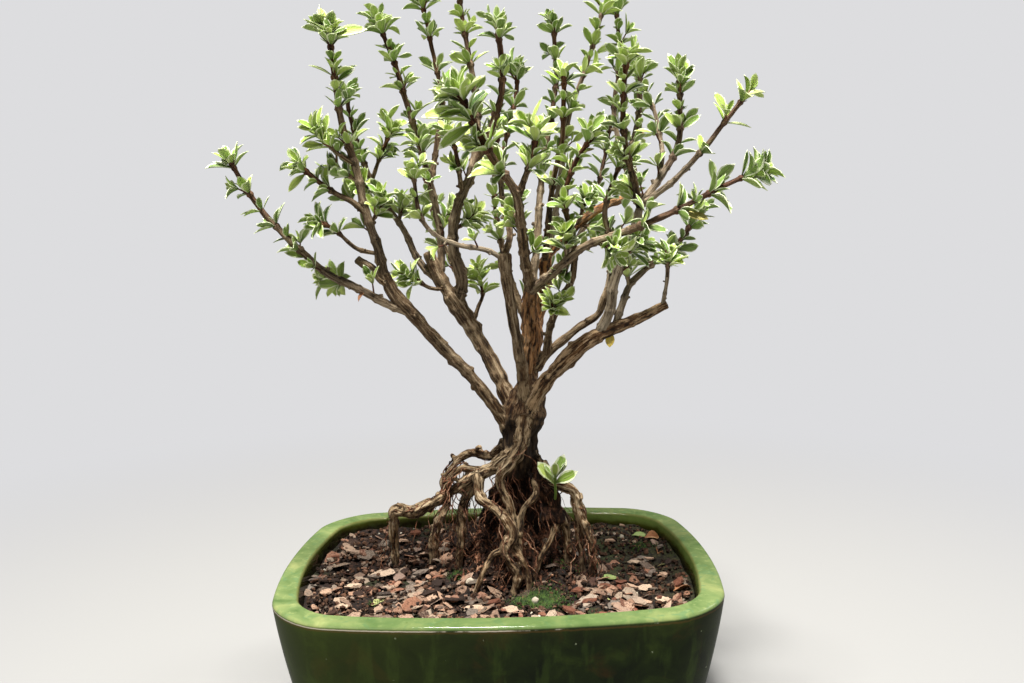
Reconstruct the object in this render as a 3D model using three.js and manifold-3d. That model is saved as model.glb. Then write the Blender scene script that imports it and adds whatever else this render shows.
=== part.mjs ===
// Serissa bonsai with exposed roots in a green glazed pot. Millimetres, +Z up, front along -Y.
// The plant is drawn as it looks from the front: every point of a limb is [across, up, depth].
// Across and up are measured on a picture plane in front of the eye, depth is how far behind
// the pot's middle the point lies, and the sight line through the first two gives the place.
import * as THREE from "three";
import { mergeVertices } from "three/addons/utils/BufferGeometryUtils.js";
import Module from "manifold-3d";

const wasm = await Module();
wasm.setup();

const GAP = 0.3;

// The eye that the drawing is made from, and its picture plane.
const EYE = new THREE.Vector3(3, -420, 230);
const EYE_FALLS_DEG = 6.02;
const EYE_TURNS_DEG = 0.74;
const EYE_ROLLS_DEG = -0.94;
const PICTURE_DISTANCE = 417.5;

// The pot: a rounded rectangle with slightly bowed sides, tapering to a base on four low feet.
const POT_WIDTH = 198;
const POT_DEPTH = 148;
const POT_HEIGHT = 74;
const POT_CORNER = 24;
const POT_BOW = 9.5;
const CORNER_TIGHTENING = 0.9;
const RIM_WIDTH = 10.4;
const RIM_ROUND = 1.8;
const WALL_LEAN = 0.12;
const WALL_CURVE = 0.0013;
const WALL_THICKNESS = 8.4;
const BASE_ROUND = 4;
const FOOT_HEIGHT = 5.5;
const FOOT = { long: 26, wide: 15, round: 5, x: 52, y: 29 };
const WALL_HEIGHTS = [FOOT_HEIGHT + BASE_ROUND, 30, 52];
const FLOOR_THICKNESS = 7;
const POT_FLOOR = FOOT_HEIGHT + FLOOR_THICKNESS;
const DRAIN = { radius: 7, x: 34, sides: 12 };
const SCREEN = { radius: 12, thickness: 1.2, hole: 1.8, pitch: 5, holes: 6, turn: 10 };

// The soil: its level at the wall, and the mound of matted roots that the trunk stands over.
const SOIL_LEVEL = 65;
const MOUND = { x: 9, y: 6, height: 34, long: 25, wide: 19 };
const SOIL_UNEVENNESS = 1;
const SOIL_SHRINKAGE = 1.1;
const SOIL_RINGS = 6;
const CHIP = {
  count: 10, corners: 5, narrow: 0.6, tilt: 0.25,
  long: [3, 6.5], thick: [1.6, 2.6], out: [0.4, 0.85],
};

// A serissa leaf.
const BLADE_THICKNESS = 0.8;
const BLADE_WIDTH_SHARE = 0.42;
const BLADE_ARCH = 0.16;
const LEAF_LENGTH = 11.5;
const FIRST_PAIR = 5;
const PAIR_SPACING = 16;
const KNUCKLE = 1.4;
const TUFT = 3.5;
const LEAN = { pair: 54, tuft: 50, tip: 26, spread: 6, swing: 12 };
const LEAN_TRIES = [0, 16, -16, 30];
const TIP_SIZE = 0.85;
const SPUR = { run: 0.6, out: 0.8, rise: 1.5, sag: 0.5, radii: [0.95, 0.7] };

// How finely limbs are drawn, and the radius from which a shoot's stem is stout.
const ROOT_STEP = 9;
const BOUGH_STEP = 11;
const BARE_STEP = 15;
const STEM_STEP = 11;
const STEM_CORNER = 1.12;

// Roots: points as drawn, and radii spread evenly from the first point to the last.
const ROOTS = {
  left_arch: {
    points: [[1.5, -53, -3], [-5, -60, -8], [-12.5, -64.5, -10], [-21, -68.5, -10], [-33, -77, -8],
      [-43, -83, -5], [-50.5, -85.5, -2], [-58, -84.5, 0], [-59.5, -90, 1], [-58.5, -105, 4],
      [-57, -119, 4]],
    radii: [4.6, 3.2, 2.8, 2.6, 2.7, 3.3, 2.4, 2.1, 1.9],
  },
  left_back: {
    points: [[-3, -51, 4], [-9.5, -57, 10], [-21, -55.5, 17], [-28, -60, 18], [-33.5, -69, 17],
      [-33, -80, 13], [-38.5, -95, 12], [-39, -118, 12]],
    radii: [3.2, 2.4, 2.1, 1.9, 2.2, 2.4, 2.2],
  },
  left_loop: {
    points: [[-17, -64, -9], [-25, -63, -10], [-31, -68, -12], [-34, -76, -12]],
    radii: [2, 1.9, 1.7],
  },
  left_foot: {
    points: [[-15, -66.5, -10], [-21, -75, -7], [-25, -83.5, -6], [-25, -92, -7], [-27, -119, -7]],
    radii: [2.6, 2.4, 2.1, 1.8],
  },
  front_twist: {
    points: [[-17, -64, -9], [-17, -70, -13], [-16, -78, -17], [-6, -86, -22], [0, -96, -25],
      [-3, -103, -26], [-1, -110, -27], [2.5, -115, -27], [1, -128, -28]],
    radii: [2.5, 2.4, 2.3, 2.7, 2.7, 2.2, 1.8],
  },
  front_centre: {
    points: [[6, -42, -5], [4, -54, -9], [-1, -61, -12], [-6, -67, -14], [-5, -73, -15],
      [-0.5, -84, -18], [0, -92, -21], [-2, -101, -25]],
    radii: [3.6, 3.2, 2.5, 2, 1.9, 1.9],
  },
  front_left_toe: {
    points: [[-2.5, -104, -25], [-10, -107, -27], [-15, -117, -29], [-20, -130, -31]],
    radii: [1.6, 1.5, 1.3],
  },
  front_right_toe: {
    points: [[-1, -101, -24], [5, -109, -26], [8, -116, -28], [8.5, -130, -29]],
    radii: [1.7, 1.5, 1.4],
  },
  inner_front: {
    points: [[9, -66, -7], [11.5, -77, -14], [6, -84, -19], [4, -92, -21], [4, -106, -23],
      [6, -122, -22]],
    radii: [2.2, 1.6, 1.5, 1.5],
  },
  right_arch: {
    points: [[13, -57, -2], [16.5, -65, -5], [19.5, -70.5, -8], [25.5, -72.5, -11],
      [31, -75, -12], [33, -83, -13], [37, -95, -13], [40, -104, -13], [40, -120, -13]],
    radii: [3.4, 2.5, 2.3, 2.8, 2.5, 2.2, 1.8],
  },
  right_strand: {
    points: [[33.5, -86, -13], [33, -97, -11], [35, -107, -10], [35, -119, -10]],
    radii: [1.8, 1.6, 1.5],
  },
  right_foot: {
    points: [[9, -60, 0], [13, -71.5, -2], [19, -79, -5], [25, -88, -7], [28, -101, -8],
      [28, -119, -8]],
    radii: [3.6, 2.8, 2.5, 2.2, 2],
  },
  right_toe: {
    points: [[24, -87, -7], [19, -100, -14], [14, -110, -18], [10.5, -128, -21]],
    radii: [1.7, 1.5, 1.3],
  },
  back_right: {
    points: [[8, -58, 6], [13, -71, 18], [19, -84, 28], [23, -98, 33], [23, -111, 34]],
    radii: [3.4, 2.6, 2.3, 1.9],
  },
  back_left: {
    points: [[0, -58, 8], [-7, -73, 22], [-13, -87, 32], [-16, -99, 36], [-16, -110, 37]],
    radii: [3.2, 2.6, 2.2, 1.8],
  },
  back_middle: {
    points: [[5, -60, 8], [6, -76, 26], [3, -91, 36], [3, -110, 38]],
    radii: [3, 2.4, 2],
  },
};

// Trunk and boughs, which carry no leaves of their own.
const BOUGHS = {
  trunk: {
    points: [[4, -69, 0], [4.5, -54, 1], [4.5, -43, 2], [6.5, -33, 2], [9, -23, 2]],
    radii: [6.5, 8.6, 9.8, 10, 7.5],
  },
  left_bough: {
    points: [[2, -50, 1], [-5, -38, 0], [-20, -18, -4], [-33, -5, -8], [-50, 14, -12], [-59, 24, -14],
      [-64, 34, -15]],
    radii: [4.6, 3.5, 3.1, 3, 3.2, 3.5, 2.6],
  },
  left_stub: {
    points: [[-64, 30, -15], [-71, 36.5, -13], [-77.5, 41, -11]],
    radii: [2.6, 2.4],
  },
  second_bough: {
    points: [[3, -40, 4], [-1, -30, 6], [-12, -7, 12], [-21, 8, 16], [-28, 19, 17], [-36, 31, 17],
      [-42, 45, 15]],
    radii: [5, 4.4, 4.1, 4.4, 5, 3.8, 3.1],
  },
  centre_left: {
    points: [[7, -30, -3], [5, -14, -9], [1.5, 6, -13], [-2, 26, -15], [-4, 44, -15]],
    radii: [3.8, 3, 2.8, 2.7, 3.4],
  },
  centre_right: {
    points: [[7.5, -30, 3], [8.5, -7, 7], [10, 4, 8], [9, 15, 6], [9.5, 27, 1]],
    radii: [5.2, 5.4, 5.6, 4.2, 3],
  },
  rough_bough: {
    points: [[10, 2, 9], [14, 16, 15], [16.5, 30, 20], [17, 41, 26], [23.5, 50, 31], [43, 66, 37],
      [58, 74, 39], [61, 87, 39]],
    radii: [3.8, 3.2, 3, 2.6, 2.3, 1.9],
  },
  right_bough: {
    points: [[6, -43, -2], [10, -30, -4], [24.5, -11.5, -10], [39, 1, -14], [50, 6.5, -15],
      [64, 12, -17], [77.5, 19, -17]],
    radii: [5.2, 4.6, 4.1, 4.3, 3.4, 2.8, 2.2],
  },
  right_upper: {
    points: [[12, -14, 4], [16.5, -7, 5], [32, 6, 6], [43, 14, 4], [48, 27.5, 2]],
    radii: [2.8, 2.3, 2, 1.8],
  },
};

// Leafy shoots. The share "bare" of each, from its base, is leafless wood.
const SHOOTS = {
  left_low: {
    points: [[-50.5, 14, -12], [-62.5, 19, -15], [-79, 27.5, -18], [-91, 33, -20], [-106, 45.5, -23],
      [-115, 54.5, -25], [-125, 65.5, -27], [-134.5, 79, -29], [-141, 90, -31]],
    radii: [2.3, 0.8], bare: 0.5,
  },
  left_tall: {
    points: [[-64, 33, -15], [-67, 46.5, -16], [-74, 68, -18], [-78.5, 88.5, -20], [-85, 108.5, -22],
      [-89.5, 139, -24], [-91.5, 155, -25]],
    radii: [2.5, 0.9], bare: 0.5,
  },
  left_side: {
    points: [[-73, 64, -18], [-79.5, 69.5, -22], [-89, 74.5, -26], [-106, 87, -32]],
    radii: [1.4, 0.8], bare: 0.4,
  },
  left_twig: {
    points: [[-68, 44, -16], [-77.5, 46.5, -22], [-89, 56, -29], [-97, 60, -33]],
    radii: [1.1, 0.7], bare: 0.5,
  },
  left_outer: {
    points: [[-78.5, 88, -20], [-88, 95, -26], [-98, 106, -33]],
    radii: [1.1, 0.7], bare: 0.35,
  },
  left_crossing: {
    points: [[-36, 30, 17], [-45, 38, 18], [-55.5, 58, 17], [-64, 69.5, 15], [-72, 84, 13],
      [-80.5, 110, 10], [-83, 124, 9]],
    radii: [1.9, 0.8], bare: 0.62,
  },
  left_inner: {
    points: [[-70, 80, 14], [-66.5, 91, 9], [-61, 105, 4]],
    radii: [1.1, 0.7], bare: 0.25,
  },
  second_tall: {
    points: [[-36, 31, 17], [-35.5, 49, 20], [-39, 71, 22], [-43.5, 89, 22], [-51, 113.5, 22],
      [-57.5, 135.5, 21], [-67, 160, 19]],
    radii: [2.1, 0.9], bare: 0.45,
  },
  second_high: {
    points: [[-41, 78, 22], [-38, 96, 28], [-35, 120, 34], [-38.5, 140, 37], [-45.5, 172, 39]],
    radii: [1.6, 0.8], bare: 0.4,
  },
  second_main: {
    points: [[-28, 19, 17], [-25, 30, 14], [-29, 46, 8], [-29.5, 57, 5], [-27, 68, 2], [-18.5, 87.5, -2],
      [-9.5, 109, -6], [-5, 128.5, -9], [-7, 158, -11]],
    radii: [3.2, 1], bare: 0.55,
  },
  second_twig: {
    points: [[-34, 26, 15], [-42.5, 27.5, 8], [-52, 34, 2]],
    radii: [1.1, 0.7], bare: 0.4,
  },
  dead_twig: {
    points: [[-20, 7, 16], [-17, 17, 22], [-14.5, 24, 25], [-17, 33, 27]],
    radii: [1.2, 0.6], bare: 0.5,
  },
  middle_tuft: {
    points: [[-25, 73, 1], [-26, 82, -6], [-29.5, 101, -14]],
    radii: [1.3, 0.8], bare: 0.3,
  },
  middle_tall: {
    points: [[-22.5, 79, 0], [-18, 96, 8], [-17, 112, 14], [-20.5, 137, 20], [-25, 163, 24],
      [-27, 180, 25]],
    radii: [1.9, 0.9], bare: 0.3,
  },
  knob_trail: {
    points: [[-4, 41, -15], [-12.5, 45.5, -18], [-27.5, 48.5, -21], [-38, 53, -22], [-45.5, 62, -23],
      [-49.5, 84, -24]],
    radii: [1.3, 0.7], bare: 0.6,
  },
  knob_rise: {
    points: [[-4, 42, -15], [-1, 53, -9], [-4, 67, 0], [-5.5, 81, 9], [-3.5, 98, 16], [2, 124, 23],
      [3, 136, 25]],
    radii: [1.6, 0.8], bare: 0.45,
  },
  front_diagonal: {
    points: [[9.5, 25, 2], [6.5, 41, -14], [4.5, 60, -32], [2, 74, -41], [-9.5, 91.5, -52],
      [-20, 110.5, -61], [-26, 124, -66]],
    radii: [2.9, 1], bare: 0.6, leaf: 16,
  },
  front_right: {
    points: [[3, 71, -39], [6, 80, -43], [10.5, 93.5, -50], [12, 104, -54]],
    radii: [1.5, 0.9], bare: 0.3, leaf: 13,
  },
  right_long: {
    points: [[9.5, 25, 1], [22, 35.5, -16], [37.5, 48, -34], [59.5, 56, -50], [81, 65, -62],
      [104.5, 77, -70], [124, 85.5, -75]],
    radii: [2.5, 1.1], bare: 0.55, leaf: 12.5,
  },
  right_rise: {
    points: [[43, 3, -14], [49, 16, -18], [50.5, 27, -20], [55, 41.5, -20], [60.5, 55, -18],
      [64.5, 68, -16], [76, 84.5, -12], [83, 99, -10], [84, 118, -8], [84, 134, -7]],
    radii: [2.7, 0.9], bare: 0.66,
  },
  right_outer: {
    points: [[65, 69, -16], [79, 79, -21], [93.5, 93.5, -27], [107.5, 111, -33], [117, 123, -37]],
    radii: [1.5, 0.8], bare: 0.45,
  },
  right_mid: {
    points: [[51, 6.5, -15], [54.5, 17, -9], [59.5, 29, -2], [71.5, 40, 4], [82, 48, 8], [94, 65.5, 12]],
    radii: [1.9, 0.9], bare: 0.45,
  },
  right_stub_twig: {
    points: [[75, 17.5, -17], [77, 27, -21], [78.5, 43, -27]],
    radii: [1, 0.7], bare: 0.6,
  },
  right_inner: {
    points: [[48, 27, 2], [50, 39, 3], [48.5, 53, 4], [46.5, 63, 3], [49, 76, 0], [55, 91, -4]],
    radii: [1.8, 0.8], bare: 0.35,
  },
  right_back: {
    points: [[61, 84, 39], [60, 95, 39], [63, 110, 37], [64, 122, 36], [62.5, 135, 35]],
    radii: [1.9, 1], bare: 0.2,
  },
  right_grey: {
    points: [[74, 82, -13], [75, 95, -3], [71.5, 113.5, 6], [63, 134, 14]],
    radii: [1.3, 0.7], bare: 0.35,
  },
  red_right: {
    points: [[64, 66, -16], [61, 81, -25], [56.5, 100, -34], [55.5, 121, -40], [57.5, 142, -45]],
    radii: [1.7, 0.9], bare: 0.3,
  },
  top_right: {
    points: [[60, 78, 39], [54, 96, 45], [51, 116, 49], [54, 140, 51], [52, 168, 51]],
    radii: [1.6, 0.8], bare: 0.4,
  },
  grey_diagonal: {
    points: [[17, 40, 26], [21, 60, 31], [24, 80, 33], [28.5, 112.5, 37], [37.5, 138.5, 39],
      [45.5, 166, 41]],
    radii: [1.9, 0.8], bare: 0.45,
  },
  red_centre: {
    points: [[16.5, 38, 25], [18, 58, 13], [21, 82, 4], [25, 101, -3], [26, 133, -11]],
    radii: [1.8, 0.9], bare: 0.4,
  },
  centre_tall: {
    points: [[9.5, 25, 2], [12, 43.5, 5], [13, 60, 12], [15, 85, 20], [18, 103.5, 24], [22, 128.5, 27],
      [21, 157, 30]],
    radii: [2.2, 0.9], bare: 0.4,
  },
  fork_rise: {
    points: [[17, -7, 5], [18.5, 4.5, 0], [22, 16, -4], [30, 32, -11], [31, 48.5, -17], [26.5, 68, -22],
      [30, 86, -26], [39.5, 102, -30]],
    radii: [2.1, 0.8], bare: 0.5,
  },
  fork_tuft: {
    points: [[20, 9, -2], [20, 14, -8], [21, 19, -12]],
    radii: [1.1, 0.8], bare: 0.3,
  },
  rough_tuft: {
    points: [[33, 58, 34], [35, 65, 26], [37, 72, 20]],
    radii: [1.1, 0.7], bare: 0.35,
  },
  back_left_shoot: {
    points: [[-24, 13, 17], [-27, 32, 36], [-37, 56, 54], [-43, 80, 64], [-45, 103, 70]],
    radii: [2, 0.8], bare: 0.45,
  },
  back_middle_shoot: {
    points: [[10, 4, 9], [1, 26, 32], [-6, 52, 52], [-9, 78, 64], [-7, 106, 72]],
    radii: [2.2, 0.8], bare: 0.45,
  },
  back_right_shoot: {
    points: [[15.5, 24, 18], [27, 42, 46], [38, 62, 64], [45, 86, 74], [49, 108, 79]],
    radii: [2, 0.8], bare: 0.45,
  },
  root_sprout: {
    points: [[22, -71.5, -10], [21.5, -67, -12], [22.5, -62, -13]],
    radii: [0.9, 0.6], bare: 0.35, leaf: 11,
  },
};

// Short leafy spurs on bare wood: where on which limb, which way round, and how long.
const SPURS = {
  spur_left_low: { on: "left_low", at: 0.3, turn: 200, length: 9 },
  spur_left_tall: { on: "left_tall", at: 0.22, turn: 60, length: 10 },
  spur_left_tall_high: { on: "left_tall", at: 0.4, turn: 250, length: 10 },
  spur_crossing: { on: "left_crossing", at: 0.35, turn: 130, length: 9 },
  spur_crossing_high: { on: "left_crossing", at: 0.52, turn: 300, length: 10 },
  spur_second_tall: { on: "second_tall", at: 0.2, turn: 100, length: 9 },
  spur_second_main: { on: "second_main", at: 0.28, turn: 340, length: 10 },
  spur_front: { on: "front_diagonal", at: 0.33, turn: 120, length: 10 },
  spur_long: { on: "right_long", at: 0.25, turn: 110, length: 9 },
  spur_long_far: { on: "right_long", at: 0.42, turn: 260, length: 10 },
  spur_rise: { on: "right_rise", at: 0.3, turn: 200, length: 10 },
  spur_rise_high: { on: "right_rise", at: 0.48, turn: 20, length: 10 },
  spur_right_mid: { on: "right_mid", at: 0.3, turn: 90, length: 9 },
  spur_fork: { on: "fork_rise", at: 0.38, turn: 170, length: 9 },
  spur_rough: { on: "rough_bough", at: 0.6, turn: 250, length: 10 },
};

// Seeded draws, so that the plant grows the same way every time.
function drawer(seed) {
  let state = seed;
  return (low, high) => {
    state = (state * 1103515245 + 12345) % 2147483648;
    return low + (high - low) * (state / 2147483648);
  };
}

function radians(degrees) {
  return THREE.MathUtils.degToRad(degrees);
}

// The sight line through a drawn point, met with the upright plane at its depth.
const forward = new THREE.Vector3(
  Math.sin(radians(EYE_TURNS_DEG)) * Math.cos(radians(EYE_FALLS_DEG)),
  Math.cos(radians(EYE_TURNS_DEG)) * Math.cos(radians(EYE_FALLS_DEG)),
  -Math.sin(radians(EYE_FALLS_DEG)),
);
const rightward = forward.clone().cross(new THREE.Vector3(0, 0, 1)).normalize();
const upward = rightward.clone().cross(forward);

function place([across, up, depth]) {
  const roll = radians(EYE_ROLLS_DEG);
  const right = across * Math.cos(roll) - up * Math.sin(roll);
  const rise = across * Math.sin(roll) + up * Math.cos(roll);
  const sight = forward.clone().multiplyScalar(PICTURE_DISTANCE);
  sight.addScaledVector(rightward, right).addScaledVector(upward, rise);
  return EYE.clone().addScaledVector(sight, (depth - EYE.y) / sight.y);
}

// Closed geometry and solids.
function closedGeometry(points, triangles) {
  const geometry = new THREE.BufferGeometry().setFromPoints(points);
  geometry.setIndex(triangles);
  return geometry;
}

function solidOf(geometry) {
  geometry.deleteAttribute("normal");
  geometry.deleteAttribute("uv");
  const merged = mergeVertices(geometry, 1e-4);
  return new wasm.Manifold(new wasm.Mesh({
    numProp: 3,
    vertProperties: merged.attributes.position.array,
    triVerts: Uint32Array.from(merged.index.array),
  }));
}

function geometryOf(solid) {
  const { vertProperties, triVerts } = solid.getMesh();
  const geometry = new THREE.BufferGeometry();
  geometry.setAttribute("position", new THREE.BufferAttribute(new Float32Array(vertProperties), 3));
  geometry.setIndex([...triVerts]);
  return geometry;
}

function join(solids) {
  return solids.reduce((whole, solid) => whole.add(solid));
}

// Rings of equal point counts, skinned one to the next and capped with fans at both ends.
function skin(rings) {
  const count = rings[0].length;
  const triangles = [];
  for (let ring = 0; ring + 1 < rings.length; ring++) {
    for (let side = 0; side < count; side++) {
      const a = ring * count + side;
      const b = ring * count + (side + 1) % count;
      triangles.push(a, b, b + count, a, b + count, a + count);
    }
  }
  const last = (rings.length - 1) * count;
  for (let side = 1; side + 1 < count; side++) {
    triangles.push(0, side + 1, side);
    triangles.push(last, last + side, last + side + 1);
  }
  return closedGeometry(rings.flat(), triangles);
}

// A direction square to a run: level, then turned about the run.
function sideways(tangent, turn) {
  const level = new THREE.Vector3(0, 0, 1).cross(tangent);
  if (level.length() < 0.1) {
    level.set(1, 0, 0).addScaledVector(tangent, -tangent.x);
  }
  return level.normalize().applyAxisAngle(tangent, turn);
}

// A limb: a curve through its drawn points, and its radius at any share of its length.
function limbThrough(points, radii) {
  const curve = new THREE.CatmullRomCurve3(points, false, "centripetal");
  const radiusAt = (share) => {
    const along = share * (radii.length - 1);
    const index = Math.min(Math.floor(along), radii.length - 2);
    return THREE.MathUtils.lerp(radii[index], radii[index + 1], along - index);
  };
  return { curve, radiusAt };
}

function limbOf({ points, radii }) {
  return limbThrough(points.map(place), radii);
}

// The limb's tube, between two shares of its length. Extra is added all round and at both ends.
function tube({ curve, radiusAt }, { step, sides, from = 0, until = 1, extra = 0 }) {
  const steps = Math.max(2, Math.round(curve.getLength() * (until - from) / step));
  const rings = [];
  let normal = null;
  for (let index = 0; index <= steps; index++) {
    const share = THREE.MathUtils.lerp(from, until, index / steps);
    const tangent = curve.getTangentAt(share);
    normal = normal ?? sideways(tangent, 0);
    normal.addScaledVector(tangent, -normal.dot(tangent)).normalize();
    const end = index === 0 ? -1 : index === steps ? 1 : 0;
    const centre = curve.getPointAt(share).addScaledVector(tangent, end * extra);
    const ring = [];
    for (let side = 0; side < sides; side++) {
      const outward = normal.clone().applyAxisAngle(tangent, side / sides * 2 * Math.PI);
      ring.push(centre.clone().addScaledVector(outward, radiusAt(share) + extra));
    }
    rings.push(ring);
  }
  return solidOf(skin(rings));
}

// The pot's outline, drawn in from the rim's edge, with its corners as arcs and its sides bowed.
const CORNER_STEPS = 4;
const SIDE_STEPS = 3;

function potOutline(inset, height) {
  const halfX = POT_WIDTH / 2 - inset;
  const halfY = POT_DEPTH / 2 - inset;
  const corner = POT_CORNER - CORNER_TIGHTENING * inset;
  const square = [];
  const turns = [[1, 1], [-1, 1], [-1, -1], [1, -1]];
  turns.forEach(([signX, signY], turn) => {
    const centre = new THREE.Vector2(signX * (halfX - corner), signY * (halfY - corner));
    for (let step = 0; step <= CORNER_STEPS; step++) {
      const angle = (turn + step / CORNER_STEPS) * Math.PI / 2;
      square.push(new THREE.Vector2(Math.cos(angle), Math.sin(angle)).multiplyScalar(corner).add(centre));
    }
    const start = square[square.length - 1];
    const [nextX, nextY] = turns[(turn + 1) % 4];
    const nextAngle = (turn + 1) * Math.PI / 2;
    const finish = new THREE.Vector2(Math.cos(nextAngle), Math.sin(nextAngle)).multiplyScalar(corner)
      .add(new THREE.Vector2(nextX * (halfX - corner), nextY * (halfY - corner)));
    for (let step = 1; step < SIDE_STEPS; step++) {
      square.push(start.clone().lerp(finish, step / SIDE_STEPS));
    }
  });
  return square.map(({ x, y }) => {
    const bowX = POT_BOW * (1 - (y / halfY) ** 2) * Math.min(Math.abs(x) / halfX, 1);
    const bowY = POT_BOW * (1 - (x / halfX) ** 2) * Math.min(Math.abs(y) / halfY, 1);
    return new THREE.Vector3(x + Math.sign(x) * bowX, y + Math.sign(y) * bowY, height);
  });
}

function roundedBlock(long, wide, round, height) {
  const shape = new THREE.Shape();
  const x = long / 2;
  const y = wide / 2;
  shape.moveTo(-x + round, -y).lineTo(x - round, -y).absarc(x - round, -y + round, round, -Math.PI / 2, 0)
    .lineTo(x, y - round).absarc(x - round, y - round, round, 0, Math.PI / 2)
    .lineTo(-x + round, y).absarc(-x + round, y - round, round, Math.PI / 2, Math.PI)
    .lineTo(-x, -y + round).absarc(-x + round, -y + round, round, Math.PI, Math.PI * 1.5);
  return new THREE.ExtrudeGeometry(shape, { depth: height, bevelEnabled: false, curveSegments: 2 });
}

// The pot's wall, from the underside up the outside, over the rounded rim and down the inside.
function wallInset(height) {
  const below = POT_HEIGHT - height;
  return WALL_LEAN * below + WALL_CURVE * below ** 2;
}

// Inside, the wall runs straight from the rim's inner edge to the floor.
const innerRim = potOutline(RIM_WIDTH, POT_HEIGHT - RIM_ROUND);
const innerFloor = potOutline(wallInset(POT_FLOOR) + WALL_THICKNESS, POT_FLOOR);

function innerWallPoint(index, height) {
  const share = (height - POT_FLOOR) / (POT_HEIGHT - RIM_ROUND - POT_FLOOR);
  return innerFloor[index].clone().lerp(innerRim[index], share);
}

function drainHole(x) {
  const hole = new THREE.CylinderGeometry(DRAIN.radius, DRAIN.radius, 4 * FLOOR_THICKNESS, DRAIN.sides);
  hole.rotateX(Math.PI / 2).translate(x, 0, FOOT_HEIGHT);
  return solidOf(hole);
}

function pot() {
  const shell = solidOf(skin([
    potOutline(wallInset(FOOT_HEIGHT) + BASE_ROUND, FOOT_HEIGHT),
    ...WALL_HEIGHTS.map((height) => potOutline(wallInset(height), height)),
    potOutline(0, POT_HEIGHT - RIM_ROUND),
    potOutline(RIM_ROUND, POT_HEIGHT),
    potOutline(RIM_WIDTH - RIM_ROUND, POT_HEIGHT),
    innerRim,
    innerFloor,
  ]));
  const feet = [];
  for (const [signX, signY] of [[1, 1], [-1, 1], [-1, -1], [1, -1]]) {
    const foot = roundedBlock(FOOT.long, FOOT.wide, FOOT.round, FOOT_HEIGHT + BASE_ROUND);
    foot.translate(signX * FOOT.x, signY * FOOT.y, 0);
    feet.push(solidOf(foot));
  }
  return join([shell, ...feet]).subtract(drainHole(-DRAIN.x)).subtract(drainHole(DRAIN.x));
}

function circle(path, x, y, radius) {
  path.absarc(x, y, radius, 0, 2 * Math.PI, false);
  return path;
}

// The mesh screen that keeps the soil from falling through a drain hole.
function screen() {
  const shape = circle(new THREE.Shape(), 0, 0, SCREEN.radius);
  shape.holes.push(circle(new THREE.Path(), 0, 0, SCREEN.hole));
  for (let hole = 0; hole < SCREEN.holes; hole++) {
    const angle = radians(360 / SCREEN.holes * hole + SCREEN.turn);
    const x = SCREEN.pitch * Math.cos(angle);
    shape.holes.push(circle(new THREE.Path(), x, SCREEN.pitch * Math.sin(angle), SCREEN.hole));
  }
  const depth = SCREEN.thickness;
  return solidOf(new THREE.ExtrudeGeometry(shape, { depth, bevelEnabled: false, curveSegments: 3 }));
}

// Soil: a fill whose surface swells into the root mound, uneven by a few millimetres.
function soilHeight(x, y) {
  const away = ((x - MOUND.x) / MOUND.long) ** 2 + ((y - MOUND.y) / MOUND.wide) ** 2;
  const waves = Math.sin(x * 0.11 + 1) * Math.cos(y * 0.13) + 0.6 * Math.sin(x * 0.31 - y * 0.27);
  return SOIL_LEVEL + MOUND.height * Math.exp(-away) + SOIL_UNEVENNESS * waves;
}

function barkChip(draw) {
  const angle = draw(0, 2 * Math.PI);
  const index = Math.floor(draw(0, innerRim.length));
  const spot = innerWallPoint(index, SOIL_LEVEL).multiplyScalar(draw(...CHIP.out));
  const size = draw(...CHIP.long);
  const thickness = draw(...CHIP.thick);
  const rings = [-thickness, thickness].map((height) => {
    const ring = [];
    for (let corner = 0; corner < CHIP.corners; corner++) {
      const turn = angle + corner / CHIP.corners * 2 * Math.PI;
      const width = corner % 2 ? CHIP.narrow : 1;
      ring.push(new THREE.Vector3(size * Math.cos(turn), size * width * Math.sin(turn), height));
    }
    return ring;
  });
  const geometry = skin(rings);
  geometry.rotateX(draw(-CHIP.tilt, CHIP.tilt)).rotateY(draw(-CHIP.tilt, CHIP.tilt));
  return solidOf(geometry.translate(spot.x, spot.y, soilHeight(spot.x, spot.y)));
}

function soilEdge(index, height) {
  const point = innerWallPoint(index, height);
  const shrink = 1 - SOIL_SHRINKAGE / Math.hypot(point.x, point.y);
  return point.set(point.x * shrink, point.y * shrink, height);
}

function soil(roomForRoots) {
  const wall = innerRim.map((_, index) => {
    const { x, y } = soilEdge(index, SOIL_LEVEL);
    return soilEdge(index, soilHeight(x, y));
  });
  const rings = [innerRim.map((_, index) => soilEdge(index, POT_FLOOR + GAP)), wall];
  for (let ring = 1; ring < SOIL_RINGS; ring++) {
    const inward = ring / SOIL_RINGS;
    rings.push(wall.map((point) => {
      const x = THREE.MathUtils.lerp(point.x, MOUND.x, inward);
      const y = THREE.MathUtils.lerp(point.y, MOUND.y, inward);
      return new THREE.Vector3(x, y, soilHeight(x, y));
    }));
  }
  let fill = solidOf(skin(rings));
  const draw = drawer(77);
  for (let chip = 0; chip < CHIP.count; chip++) {
    fill = fill.add(barkChip(draw));
  }
  for (const x of [-DRAIN.x, DRAIN.x]) {
    const width = 2 * (SCREEN.radius + GAP);
    const room = new THREE.BoxGeometry(width, width, SCREEN.thickness + 4 * GAP);
    room.translate(x, 0, POT_FLOOR + SCREEN.thickness / 2 + GAP);
    fill = fill.subtract(solidOf(room));
  }
  return fill.subtract(roomForRoots);
}

// A leafy stem, skinned in one go: a four-sided run with a short knuckle at each pair of
// leaves, and each blade drawn out of one side of its knuckle. A blade is flat above and keeled
// below, and sags toward its tip.
const BLADE_SECTIONS = [[0.36, 1], [0.72, 0.82]];

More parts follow.
